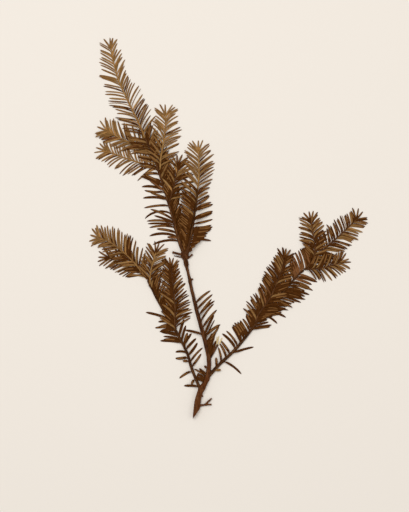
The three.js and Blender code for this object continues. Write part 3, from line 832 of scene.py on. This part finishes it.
# Each shoot grows from a limb along its line in the plan, with a rule for the needles of each side. Those in
# "lone" are placed one by one on one side: way along the twig, length, angle, bend and colour. A shoot
# that "runs_on" ends in another shoot instead of a bud.
LEADER_SHOOTS = {
    "lower_left_shoot": {
        "from": "leader_lower",
        "points": [(-60.2, 48.2), (-72.5, 53), (-90.3, 59), (-104.5, 64.6)],
        "thick": (1.6, 1),
        "bark": "young",
        "left": Rule((17, 16.5, 15, 11), (58, 57, 56, 50), (1.7, 0.8), 1.12),
        "right": Rule((13, 13, 12, 9), (66, 60, 55, 46), (1.7, 0.7), 1.12),
    },
    "upper_left_shoot": {
        "from": "leader_lower",
        "points": [(-64.4, 61.5), (-76, 68.6), (-90.3, 74), (-103.8, 81.6)],
        "thick": (1.5, 1),
        "bark": "young",
        "left": Rule((14, 14.5, 14, 11), (40, 38, 42, 48), (2.1, 1.1), 0.7, russet=0.25),
        "right": Rule((16, 17.5, 16.5, 11.5), (50, 50, 48, 46), (1.4, 0.6)),
    },
    "leader_lower": {
        "from": "main_stem",
        "points": [
            (-38.2, -21.4), (-42.4, -11.2), (-48.3, 10), (-56, 35.4), (-64.4, 60.9), (-71.2, 75.3),
        ],
        "thick": (4.2, 2.5, 2, 1.8, 1.7),
        "bark": "old",
        "left": Rule((15, 15), (60, 54), (2.4, 1.8), bare=70),
        "right": Rule((12, 16, 17, 14), (22, 42, 46, 44), (3, 2.3), 0.48),
        "lone_side": 1,
        "lone": [
            (69.4, 13.4, 77, 0.4, "brown"), (63.7, 14.8, 55, -0.4, "umber"),
            (60.3, 17.6, 45, 0.2, "brown"), (58.9, 20.2, 49, 0.2, "umber"),
            (54.9, 19.3, 65, 0.7, "umber"), (54.9, 15, 38, 0, "russet"),
            (53.5, 16.8, 69, -0.4, "brown"), (48.1, 14, 55, 0, "brown"),
            (46.7, 20.3, 71, 0.5, "umber"), (41.3, 20.8, 80, 0.3, "brown"),
            (34.3, 24, 87, 1.3, "umber"), (29.4, 20.5, 51, 0.4, "brown"),
            (27, 16.8, 57, 0.1, "umber"), (26.4, 22.6, 73, 0.4, "brown"),
            (24.6, 22, 74, 0.2, "umber"), (22.2, 21.3, 77, 0.5, "brown"),
            (17.7, 16.4, 65, 0.3, "brown"), (14.2, 23.7, 74, 0.8, "umber"),
            (13.2, 8, 71, 0, "russet"), (10.6, 21.8, 82, 0.6, "umber"),
        ],
        "runs_on": True,
    },
    "leader_tip": {
        "from": "leader_lower",
        "points": [
            (-71.2, 75.3), (-75.5, 85.5), (-88.2, 111.8), (-94.1, 125.3), (-98.6, 142),
            (-100.4, 152),
        ],
        "thick": (1.6, 1),
        "bark": "young",
        "left": Rule((17.5, 18, 17.5, 15, 10.4), (52, 52, 56, 52, 48), (1.5, 0.6), 1.22),
        "right": Rule((17, 17, 15, 13, 9.4), (54, 52, 46, 42, 38), (1.4, 0.6), 1.2),
    },
    "inner_shoot": {
        "from": "leader_lower",
        "points": [(-50.9, 20.2), (-48.3, 28.7), (-44.1, 45.6), (-43.7, 52.4)],
        "thick": (1.5, 1),
        "bark": "old",
        "left": Rule((13, 14, 11), (52, 50, 44), (2.3, 1.7), 0.8),
        "right": Rule((17, 18, 15.5, 11), (60, 60, 54, 44), (2.4, 2), 0.66),
    },
    "upper_right_shoot": {
        "from": "leader_lower",
        "points": [(-58.5, 48.2), (-57.7, 58.3), (-54.2, 80.4), (-53.8, 95.2)],
        "thick": (1.5, 1),
        "bark": "young",
        "left": Rule((14.5, 15, 14.5, 11), (50, 48, 48, 46), (1.5, 0.5), 1.1),
        "right": Rule((16, 16.5, 15.5, 11.5), (60, 58, 56, 48), (1.5, 0.6), 1.1),
    },
}
BARE_FOOT = 2
BURIED_FOOT = 3
TUFT_ROOM = 1.6
TWIG_SLOPE = 0.12
TWIG_STATION = 0.9
TWIG_SIDES = 10
TWIG_STRIPS = 7

# The ridges down a twig: how many, the length of a turn round it, their height and the skin's unevenness
# as shares of its radius, and the share of it that is left at the end.
TWIG_RIDGES = 5
TWIG_RIDGE_TURN = 24
TWIG_RIDGE_HEIGHT = 0.07
TWIG_UNEVEN = 0.035
TWIG_END = 0.6

# Round an end bud: each needle's way back from the end, its share of the angle and of the length.
TUFT = [(1.7, 1.15, 1.05), (1.4, -1.1, 1.02), (1.0, 0.62, 0.95), (0.7, -0.56, 0.92), (0.3, 0.05, 0.8)]
TUFT_BEND = 0.15

twigs = {"young": [], "tan": [], "old": []}
twig_nodes = {"young": [], "tan": [], "old": []}
tips = []


def grow_twig(name, line, bark):
    """The rings of a twig's skin, ridged by the feet of its needles."""
    phase = chance.uniform(0, 2 * math.pi)
    stations = np.linspace(0, line.length, max(4, round(line.length / (TWIG_STATION * MM))))
    around = 2 * math.pi * np.arange(TWIG_SIDES) / TWIG_SIDES
    rings = []
    for s in stations:
        heading = line.heading(s)
        left = np.array([-math.sin(heading), math.cos(heading), 0])
        ridge = np.cos(TWIG_RIDGES * around + 2 * math.pi * s / (TWIG_RIDGE_TURN * MM) + phase)
        uneven = np.array([chance.gauss(0, TWIG_UNEVEN) for _ in around])
        swell = 1 + TWIG_RIDGE_HEIGHT * ridge + uneven
        radius = line.radius(s) * swell * (TWIG_END if s == stations[-1] else 1)
        ring = line.at(s) + left * (radius * np.cos(around))[:, None]
        ring[:, 2] = np.maximum(ring[:, 2] + radius * np.sin(around), 0)
        rings.append(ring)
    twigs[bark].append(np.array(rings))
    twig_nodes[bark].append(name)


def grow_shoot(name, shoot):
    """A leafy shoot: its twig laid on the pile, two sides of needles and a tuft round its bud. One that
    is laid before its limb starts on the surface."""
    line = lines[name] = Line(shoot["points"], shoot["thick"])
    parent = lines.get(shoot["from"])
    root_height = line.points[0, 2]
    if parent is not None:
        near = np.argmin(np.linalg.norm(parent.points[:, :2] - line.points[0, :2], axis=1))
        root_height = parent.points[near, 2]
    left = leftwards(line.points)
    radius = float(line.radius(line.length / 2))
    line.points[:, 2] = rest(line.points, line.s, left, radius, radius, TWIG_SLOPE, root_height)
    grow_twig(name, line, shoot["bark"])
    foot = BARE_FOOT * MM
    to = line.length - (0 if shoot.get("runs_on") else TUFT_ROOM * MM)
    wide = YOUNG_WIDTH if shoot["bark"] == "young" else OLD_WIDTH
    grow_side(name, line, foot, to, 1, shoot["left"], wide)
    grow_side(name, line, foot, to, -1, shoot["right"], wide)
    for s, long, angle, bend, tone in shoot.get("lone", []):
        grow_needle(name, line, s * MM, shoot["lone_side"], angle, long, tone, bend, SINGLE_WIDTH)
    if not shoot.get("runs_on"):
        for back, share, size in TUFT:
            rule = shoot["left"] if share > 0 else shoot["right"]
            turn = abs(share) * rule.angle[-1] + chance.gauss(0, STRAY_DEG)
            long = rule.long[-1] * size
            tone = pick_tone(rule.tone[-1], 0)
            side = math.copysign(1, share)
            grow_needle(name, line, line.length - back * MM, side, turn, long, tone, TUFT_BEND, wide)
        tips.append((line.at(line.length), line.heading(line.length)))
    lay_limb(line, BURIED_FOOT * MM, TWIG_STRIPS)


for name, shoot in LEADER_SHOOTS.items():
    grow_shoot(name, shoot)

# Right leader
# A second leafy limb that leaves the stem at the same fork as the leader and stands up beside it.
# Its lower half is last year's wood with long dark needles, its upper half this year's growth.

RIGHT_LEADER_SHOOTS = {
    "right_leader_lower": {
        "from": "main_stem",
        "points": [(-36.5, -24.8), (-33.1, -11.2), (-28.4, 15.9), (-26.7, 31.2)],
        "thick": (3.6, 2.3, 1.7, 1.5),
        "bark": "old",
        "left": Rule((11, 15, 16, 16.5), (30, 54, 58, 56), (3, 2.3), 0.44),
        "right": Rule((11, 13), (56, 52), (2.3, 2), 0.8, bare=46),
        "lone_side": -1,
        "lone": [
            (46.6, 12, 54, 0.2, "umber"), (44, 13.4, 47, -0.3, "brown"), (41, 14, 60, 0.2, "brown"),
            (39.2, 15.4, 62, 0.1, "brown"), (33, 16.4, 61, 0.1, "brown"),
            (31.5, 16.4, 60, -0.2, "umber"), (27.7, 16.6, 67, -0.2, "brown"),
            (24.6, 15.6, 72, -0.5, "brown"), (23.1, 16.8, 73, -0.4, "brown"),
            (21.6, 16, 74, -0.3, "umber"), (20.2, 15.2, 73, -0.2, "brown"),
            (18.9, 13.2, 76, -0.5, "umber"), (17.2, 12.4, 78, -0.5, "brown"),
            (15.7, 11, 79, -0.5, "umber"), (13.5, 17.4, 81, 0.5, "umber"),
            (13.2, 9, 74, -0.3, "umber"), (11, 8.6, 66, -0.2, "brown"), (9, 7, 58, 0, "umber"),
            (6.5, 5.8, 50, 0, "brown"), (4, 3.6, 44, 0, "umber"),
        ],
        "runs_on": True,
    },
    "right_leader_tip": {
        "from": "right_leader_lower",
        "points": [(-26.7, 31.2), (-25.4, 43.9), (-25.9, 64.5)],
        "thick": (1.4, 1),
        "bark": "young",
        "left": Rule((17, 16.5, 15, 11), (50, 49, 48, 44), (1.7, 0.8)),
        "right": Rule((14.5, 15.5, 15, 11), (52, 55, 54, 46), (1.6, 0.8)),
    },
}

for name, shoot in RIGHT_LEADER_SHOOTS.items():
    grow_shoot(name, shoot)

# Shoots of the left bough
# The left bough breaks up into four short leafy shoots, of which the longest carries its line on.
# Two of them stand up between the bough and the stem, and their needles lie over those of the bough.

LEFT_BOUGH_SHOOTS = {
    "left_bough_side_shoot": {
        "from": "left_bough_tip",
        "points": [(-73.8, -38.5), (-88.2, -29.8), (-102.6, -26)],
        "thick": (1.4, 1),
        "bark": "old",
        "left": Rule((13.5, 14, 13, 10.5), (60, 58, 54, 47), (2.5, 1.8), 0.85),
        "right": Rule((12, 12, 10.5), (50, 48, 44), (2.5, 1.8)),
    },
    "left_bough_tip": {
        "from": "left_bough",
        "points": [(-69.5, -44.3), (-80.6, -30.2), (-92.4, -19.2), (-102, -12.4), (-110.2, -9.2)],
        "thick": (1.7, 1),
        "bark": "tan",
        "left": Rule((14, 14, 13, 10), (55, 55, 52, 45), (2.3, 1.1), 0.82),
        "right": Rule((17, 17.5, 16, 11), (48, 50, 52, 45), (2.1, 0.9), 0.82),
    },
    "left_bough_middle_shoot": {
        "from": "left_bough",
        "points": [(-44.9, -88.4), (-45.8, -80), (-45.8, -66.3), (-48.3, -42.6), (-49.2, -34.1)],
        "thick": (1.6, 1),
        "bark": "old",
        "left": Rule((15, 15.5, 14, 10.5), (50, 48, 46, 42), (2.7, 2.1), 0.7),
        "right": Rule((15.5, 15, 13, 10.5, 9), (68, 62, 54, 48, 43), (3, 2.3), 0.8),
    },
    "left_bough_upper_shoot": {
        "from": "left_bough",
        "points": [(-67, -49), (-66.6, -40), (-63.8, -27.5), (-61.9, -21.4)],
        "thick": (1.4, 1),
        "bark": "young",
        "left": Rule((13, 13, 10.5), (52, 50, 46), (2, 1.2), 0.76),
        "right": Rule((14, 14.5, 11), (54, 56, 50), (2.1, 1.3), 0.86),
    },
}

for name, shoot in LEFT_BOUGH_SHOOTS.items():
    grow_shoot(name, shoot)

# Shoots of the right bough
# The right bough ends in a leafy tip that reaches up to the right, with a shoot above it and one
# below it. A longer shoot lies along the bough's upper side, over the needles of the bough itself.

RIGHT_BOUGH_SHOOTS = {
    "right_bough_tip": {
        "from": "right_bough",
        "points": [(63.6, -36.6), (76.3, -23.1), (92.4, -8.6), (108.5, 6.6)],
        "thick": (1.6, 1),
        "bark": "old",
        "left": Rule((14.5, 14, 13, 10), (68, 68, 68, 56), (2.5, 1.7), 0.68, bare=6),
        "right": Rule((14.5, 15.5, 14.5, 10), (55, 58, 60, 52), (2.6, 1.7), 0.68),
        "lone_side": 1,
        "lone": [
            (2.7, 16.6, 62, 0.5, "russet"), (4.6, 15.4, 62, 0.4, "brown"),
            (6, 14.6, 63, 0.3, "brown"), (7.3, 13.8, 65, 0.2, "russet"),
            (8.4, 13.5, 60, 0.2, "brown"),
        ],
    },
    "right_bough_inner_shoot": {
        "from": "right_bough",
        "points": [(21.7, -83), (24.9, -74.4), (34.9, -60), (40.6, -47), (44.3, -37.1), (47, -26.5)],
        "thick": (1.6, 1),
        "bark": "old",
        "left": Rule((14, 16, 14.5, 10.5), (62, 62, 56, 42), (2.9, 2.2), 0.6, russet=0.12),
        "right": Rule((15, 15.5, 13.5, 10), (50, 50, 48, 42), (3.1, 2.4), 0.62),
    },
    "right_bough_upper_shoot": {
        "from": "right_bough_tip",
        "points": [(70.4, -29.8), (72.9, -19.7), (70.8, -4), (69.5, 4.9)],
        "thick": (1.4, 1),
        "bark": "old",
        "left": Rule((12.5, 13, 12.5, 10.5), (66, 68, 66, 50), (2.3, 1.7), 0.7),
        "right": Rule((12.5, 13, 12, 10), (62, 66, 62, 46), (2.3, 1.7), 0.72),
    },
    "right_bough_side_shoot": {
        "from": "right_bough_tip",
        "points": [(64.4, -36), (73, -35.6), (83.1, -34.1), (94.1, -30.3)],
        "thick": (1.4, 1),
        "bark": "old",
        "left": Rule((13, 13.5, 13, 10.5), (60, 60, 55, 45), (2.3, 1.6), 0.76),
        "right": Rule((11, 13, 13, 10.5), (60, 60, 56, 47), (2.5, 1.8), 0.76),
    },
}

for name, shoot in RIGHT_BOUGH_SHOOTS.items():
    grow_shoot(name, shoot)

# Twigs of the shoots
# The thin stems that carry the needles, ridged by the needles' feet. This year's are golden, older
# ones tan or brown. They grow out of the limbs, and each kind is one joined mesh.


def mesh_piece(name, corners, faces, materials, slots=None):
    """A piece from arrays of corners and faces, with each face's material slot."""
    mesh = bpy.data.meshes.new(name)
    mesh.from_pydata(corners, [], faces)
    for material in materials:
        mesh.materials.append(material)
    if slots is not None:
        mesh.polygons.foreach_set("material_index", slots)
    piece = bpy.data.objects.new(name, mesh)
    bpy.context.scene.collection.objects.link(piece)
    pick([piece])
    return piece


def skin_faces(rings, sides, first):
    """The faces of a skin through rings, closed at its foot and its end."""
    faces = [tuple(first + k for k in reversed(range(sides)))]
    for i in range(rings - 1):
        for k in range(sides):
            a = first + i * sides + k
            b = first + i * sides + (k + 1) % sides
            faces.append((a, b, b + sides, a + sides))
    last = first + (rings - 1) * sides
    faces.append(tuple(last + k for k in range(sides)))
    return faces


TWIG_GRAIN = 1.6
TWIG_SMOOTH = math.radians(60)
TWIG_BARK = {
    "young": {"bark": (0.3, 0.15, 0.043), "flake": (0.4, 0.23, 0.08), "crack": (0.14, 0.058, 0.016)},
    "tan": {"bark": (0.24, 0.115, 0.035), "flake": (0.33, 0.18, 0.06), "crack": (0.09, 0.036, 0.012)},
    "old": {"bark": (0.07, 0.024, 0.007), "flake": (0.15, 0.062, 0.02), "crack": (0.02, 0.006, 0.002)},
}

for kind, bark in TWIG_BARK.items():
    corners = []
    faces = []
    for rings in twigs[kind]:
        faces += skin_faces(len(rings), TWIG_SIDES, len(corners))
        corners += rings.reshape(-1, 3).tolist()
    skin = bark_material(kind + " twig bark", TWIG_GRAIN, relief=0.12, **bark)
    piece = mesh_piece(kind + "_twigs", corners, faces, [skin])
    bpy.ops.object.shade_smooth_by_angle(angle=TWIG_SMOOTH)
    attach(piece, "root")
    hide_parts(*twig_nodes[kind])

# Needles
# Flat dried blades, broadest in the middle and abruptly pointed, with a raised midrib, edges rolled
# under and a short twisted stalk. They are joined by tone, and each blade's foot and tip are a shade off.

# Along a needle: share of the stalk or of the blade, share of the width, and share of the thickness.
STALK_SECTIONS = [(0, 0.36, 0.9), (0.5, 0.36, 0.9), (0.95, 0.38, 0.85)]
BLADE_SECTIONS = [
    (0.05, 0.66, 0.85),
    (0.14, 0.95, 1),
    (0.32, 1, 1),
    (0.52, 1, 1),
    (0.72, 0.97, 1),
    (0.87, 0.78, 0.9),
    (0.95, 0.45, 0.75),
]

# Round a needle, from its left edge over the midrib to its right edge: shares of half the width and
# of the thickness.
BLADE_OUTLINE = [(1, -0.4), (0.48, 0.22), (0, 0.5), (-0.48, 0.22), (-1, -0.4), (0, -0.28)]

NEEDLE_COLOURS = {
    "honey": (0.39, 0.195, 0.06),
    "gold": (0.35, 0.2, 0.078),
    "olive": (0.25, 0.13, 0.043),
    "brown": (0.215, 0.096, 0.028),
    "umber": (0.078, 0.0245, 0.0035),
    "russet": (0.2, 0.08, 0.027),
    "straw": (0.72, 0.55, 0.28),
}

# The colours of a needle's foot, of the band along its midrib, and of its margins and tip. The margins'
# darker colour is partly the needle's own colour and partly painted shade of its rolled edges and of the
# gaps between needles.
NEEDLE_SHADES = {
    "gold": ("honey", "gold", "olive"),
    "olive": ("olive", "olive", "brown"),
    "brown": ("umber", "brown", "umber"),
    "umber": ("umber", "umber", "umber"),
    "russet": ("russet", "russet", "umber"),
    "straw": ("straw", "straw", "straw"),
}

# A needle's roll is complete after so many stalks' lengths, and its corners stay this far off the surface.
TWIST_STALKS = 2
CLEARANCE = 0.02

# The foot's colour ends after so many sections and the midrib's after so many. The margins are these
# faces of a ring; their darker colour is partly painted shade. Flecks are a share of a needle's own colour.
FOOT_SECTIONS = 5
RIB_SECTIONS = 8
SHADED_MARGINS = (0, 3)
FLECK_SHADE = 0.55
NEEDLE_SMOOTH = math.radians(38)


def make_needle_group():
    """Dried needle skin: mottled, finely wrinkled, and a little glossy in places."""
    inputs = [
        ("Vector", "Vector", (0, 0, 0)),
        ("Color", "Skin", (0.1, 0.05, 0.02, 1)),
        ("Color", "Fleck", (0.05, 0.02, 0.01, 1)),
    ]
    group, given, result = open_group("dried needle skin", inputs)
    mottle = noise_of(group, given.outputs["Vector"], scale=420, detail=3)
    flecks = noise_of(group, given.outputs["Vector"], scale=1700, detail=4)
    mottled = between(group, mottle, 0.42, 0.72, 0, 0.6)
    flecked = between(group, flecks, 0.56, 0.72, 0, 0.7)
    colour = blend_colours(group, mottled, given.outputs["Skin"], given.outputs["Fleck"])
    colour = blend_colours(group, flecked, colour, given.outputs["Fleck"])
    group.links.new(colour, result.inputs["Color"])
    group.links.new(between(group, mottle, 0.3, 0.7, 0.42, 0.66), result.inputs["Roughness"])
    group.links.new(between(group, flecks, 0.25, 0.75, 0, 1), result.inputs["Height"])
    return group


NEEDLE_GROUP = make_needle_group()


def needle_material(name, colour):
    """The skin of a needle in one of its colours."""
    material, tree, shader = new_material(name + " needle", specular=0.025)
    place = node(tree, "TexCoord").outputs["Object"]
    colours = {"Skin": colour, "Fleck": [c * FLECK_SHADE for c in colour]}
    wear_pattern(tree, shader, NEEDLE_GROUP, place, colours, strength=0.5, relief=0.08)
    return material


def needle_corners(needle):
    """The rings of corners of one needle, and its tip."""
    path, path_s = needle["places"], needle["s"]
    stalk = STALK_LENGTH * MM
    blade = path_s[-1] - stalk
    sections = [(u * stalk, w, t) for u, w, t in STALK_SECTIONS]
    sections += [(stalk + u * blade, w, t) for u, w, t in BLADE_SECTIONS]
    s, width, thick = np.array(sections).T
    centre = np.stack([np.interp(s, path_s, path[:, k]) for k in range(3)], axis=1)
    ahead = np.gradient(path, path_s, axis=0)
    along = np.stack([np.interp(s, path_s, ahead[:, k]) for k in range(3)], axis=1)
    along /= np.linalg.norm(along, axis=1)[:, None]
    left = np.cross((0, 0, 1), along)
    left /= np.linalg.norm(left, axis=1)[:, None]
    up = np.cross(along, left)
    roll = (needle["roll"] * np.clip(s / (stalk * TWIST_STALKS), 0, 1))[:, None]
    left, up = left * np.cos(roll) + up * np.sin(roll), up * np.cos(roll) - left * np.sin(roll)
    outline = np.array(BLADE_OUTLINE)
    half_width = (width * needle["width"] / 2)[:, None, None]
    thickness = (thick * NEEDLE_THICKNESS * MM)[:, None, None]
    rings = centre[:, None] + left[:, None] * outline[:, :1] * half_width
    rings = rings + up[:, None] * outline[:, 1:] * thickness
    rings[:, :, 2] = np.maximum(rings[:, :, 2], CLEARANCE * MM)
    return [*rings.reshape(-1, 3).tolist(), path[-1].tolist()]


def needle_faces(first):
    """The faces of one needle, and the material slot of each."""
    rings = len(STALK_SECTIONS) + len(BLADE_SECTIONS)
    sides = len(BLADE_OUTLINE)
    faces = skin_faces(rings, sides, first)[:-1]
    slots = [0]
    for i in range(rings - 1):
        for k in range(sides):
            # The margin faces take the darker third colour, partly as painted shade at the rolled edges and
            # between needles.
            edge = i >= RIB_SECTIONS or k in SHADED_MARGINS
            slots.append(0 if i < FOOT_SECTIONS else 2 if edge else 1)
    last = first + (rings - 1) * sides
    faces += [(last + k, last + (k + 1) % sides, last + sides) for k in range(sides)]
    slots += [2] * sides
    return faces, slots


needle_materials = {name: needle_material(name, colour) for name, colour in NEEDLE_COLOURS.items()}
for tone, grown in needles.items():
    corners = []
    faces = []
    slots = []
    for needle in grown:
        made, made_slots = needle_faces(len(corners))
        corners += needle_corners(needle)
        faces += made
        slots += made_slots
    shades = [needle_materials[name] for name in NEEDLE_SHADES[tone]]
    piece = mesh_piece(tone + "_needles", corners, faces, shades, slots)
    bpy.ops.object.shade_smooth_by_angle(angle=NEEDLE_SMOOTH)
    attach(piece, "root")
    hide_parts(*sorted(covered[tone]))

# End buds
# A small brown bud of overlapping scales closes each shoot, half hidden in the last needles. It is
# drawn out of a ring in steps and set on the twig's end.

# From a bud's foot to its tip: the length of each step and the share of the radius that it ends with.
BUD_STEPS = [
    (0.25, 0.85), (0.05, 1), (0.35, 0.92), (0.04, 1.02), (0.35, 0.8), (0.04, 0.88), (0.3, 0.55), (0.2, 0.2),
]
BUD_RADIUS = 0.62
BUD_FOOT = 0.6
BUD_SIDES = 10
BUD_SMOOTH = math.radians(35)
BUD_BARK = {"bark": (0.16, 0.08, 0.032), "flake": (0.25, 0.14, 0.06), "crack": (0.05, 0.022, 0.01)}


def model_bud():
    """One bud of stepped scales that points along X."""
    bpy.ops.object.select_all(action="DESELECT")
    bpy.ops.mesh.primitive_circle_add(
        vertices=BUD_SIDES, radius=BUD_RADIUS * MM * BUD_FOOT, fill_type="NGON", rotation=(0, math.pi / 2, 0)
    )
    bud = bpy.context.object
    bpy.ops.object.mode_set(mode="EDIT")
    bpy.ops.mesh.select_all(action="SELECT")
    reached, size = 0, BUD_FOOT
    for step, share in BUD_STEPS:
        reached += step * MM
        bpy.ops.mesh.extrude_region_move(TRANSFORM_OT_translate={"value": (step * MM, 0, 0)})
        bpy.ops.transform.resize(value=(share / size,) * 3, center_override=(reached, 0, 0))
        size = share
    bpy.ops.object.mode_set(mode="OBJECT")
    bpy.ops.object.transform_apply(location=True, rotation=True, scale=True)
    return bud


bud_model = model_bud()
buds = []
for place, heading in tips:
    bud = bud_model.copy()
    bud.data = bud_model.data.copy()
    bpy.context.scene.collection.objects.link(bud)
    bud.location = place
    bud.rotation_euler = (0, 0, heading)
    buds.append(bud)
bpy.data.objects.remove(bud_model)
buds = join(buds, "end_buds")
bpy.ops.object.transform_apply(location=True, rotation=True, scale=True)
buds.data.materials.append(bark_material("bud scales", 0, relief=0.1, **BUD_BARK))
bpy.ops.object.shade_smooth_by_angle(angle=BUD_SMOOTH)
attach(buds, "root")

# Surface, light and camera
# The branch lies on a plain cream surface under a broad soft light from above with a weak one from
# the side, as on a copying stand, and the camera looks straight down on it.

SURFACE_SIZE = 3
SURFACE_COLOUR = (0.87, 0.81, 0.74)
PHOTO_CENTRE = (-20.8, -24.8)
PHOTO_HEIGHT = 434.2
CAMERA_HEIGHT = 1.3
SENSOR = 36

# Each light: its place, its size, its power and its tint.
LIGHTS = [
    ("main light", (-0.35, 0.4, 1.7), 1.4, 19, (1, 0.995, 0.98)),
    ("side light", (1.1, -0.2, 1.2), 0.8, 2.5, (1, 0.97, 0.93)),
]

bpy.ops.mesh.primitive_plane_add(size=SURFACE_SIZE, location=(0, 0, 0))
surface = bpy.context.object
surface.name = "surface"
cream, _, shader = new_material("cream surface", specular=0.1)
shader.inputs["Base Color"].default_value = (*SURFACE_COLOUR, 1)
shader.inputs["Roughness"].default_value = 0.9
surface.data.materials.append(cream)

for name, place, size, power, tint in LIGHTS:
    bpy.ops.object.light_add(type="AREA", location=place)
    light = bpy.context.object
    light.name = name
    light.data.shape = "DISK"
    light.data.size = size
    light.data.energy = power
    light.data.color = tint
    light.rotation_mode = "QUATERNION"
    light.rotation_quaternion = light.location.to_track_quat("Z", "Y")

world = bpy.data.worlds.new("room")
bpy.context.scene.world = world
world.use_nodes = True
world.node_tree.nodes["Background"].inputs["Color"].default_value = (1, 0.99, 0.975, 1)
world.node_tree.nodes["Background"].inputs["Strength"].default_value = 0.45

bpy.context.scene.view_settings.view_transform = "Standard"

centre = to_place(*PHOTO_CENTRE)
bpy.ops.object.camera_add(location=(centre[0], centre[1], CAMERA_HEIGHT), rotation=(0, 0, 0))
camera = bpy.context.object
camera.data.sensor_width = SENSOR
camera.data.lens = SENSOR * CAMERA_HEIGHT / (PHOTO_HEIGHT * MM)
bpy.context.scene.camera = camera
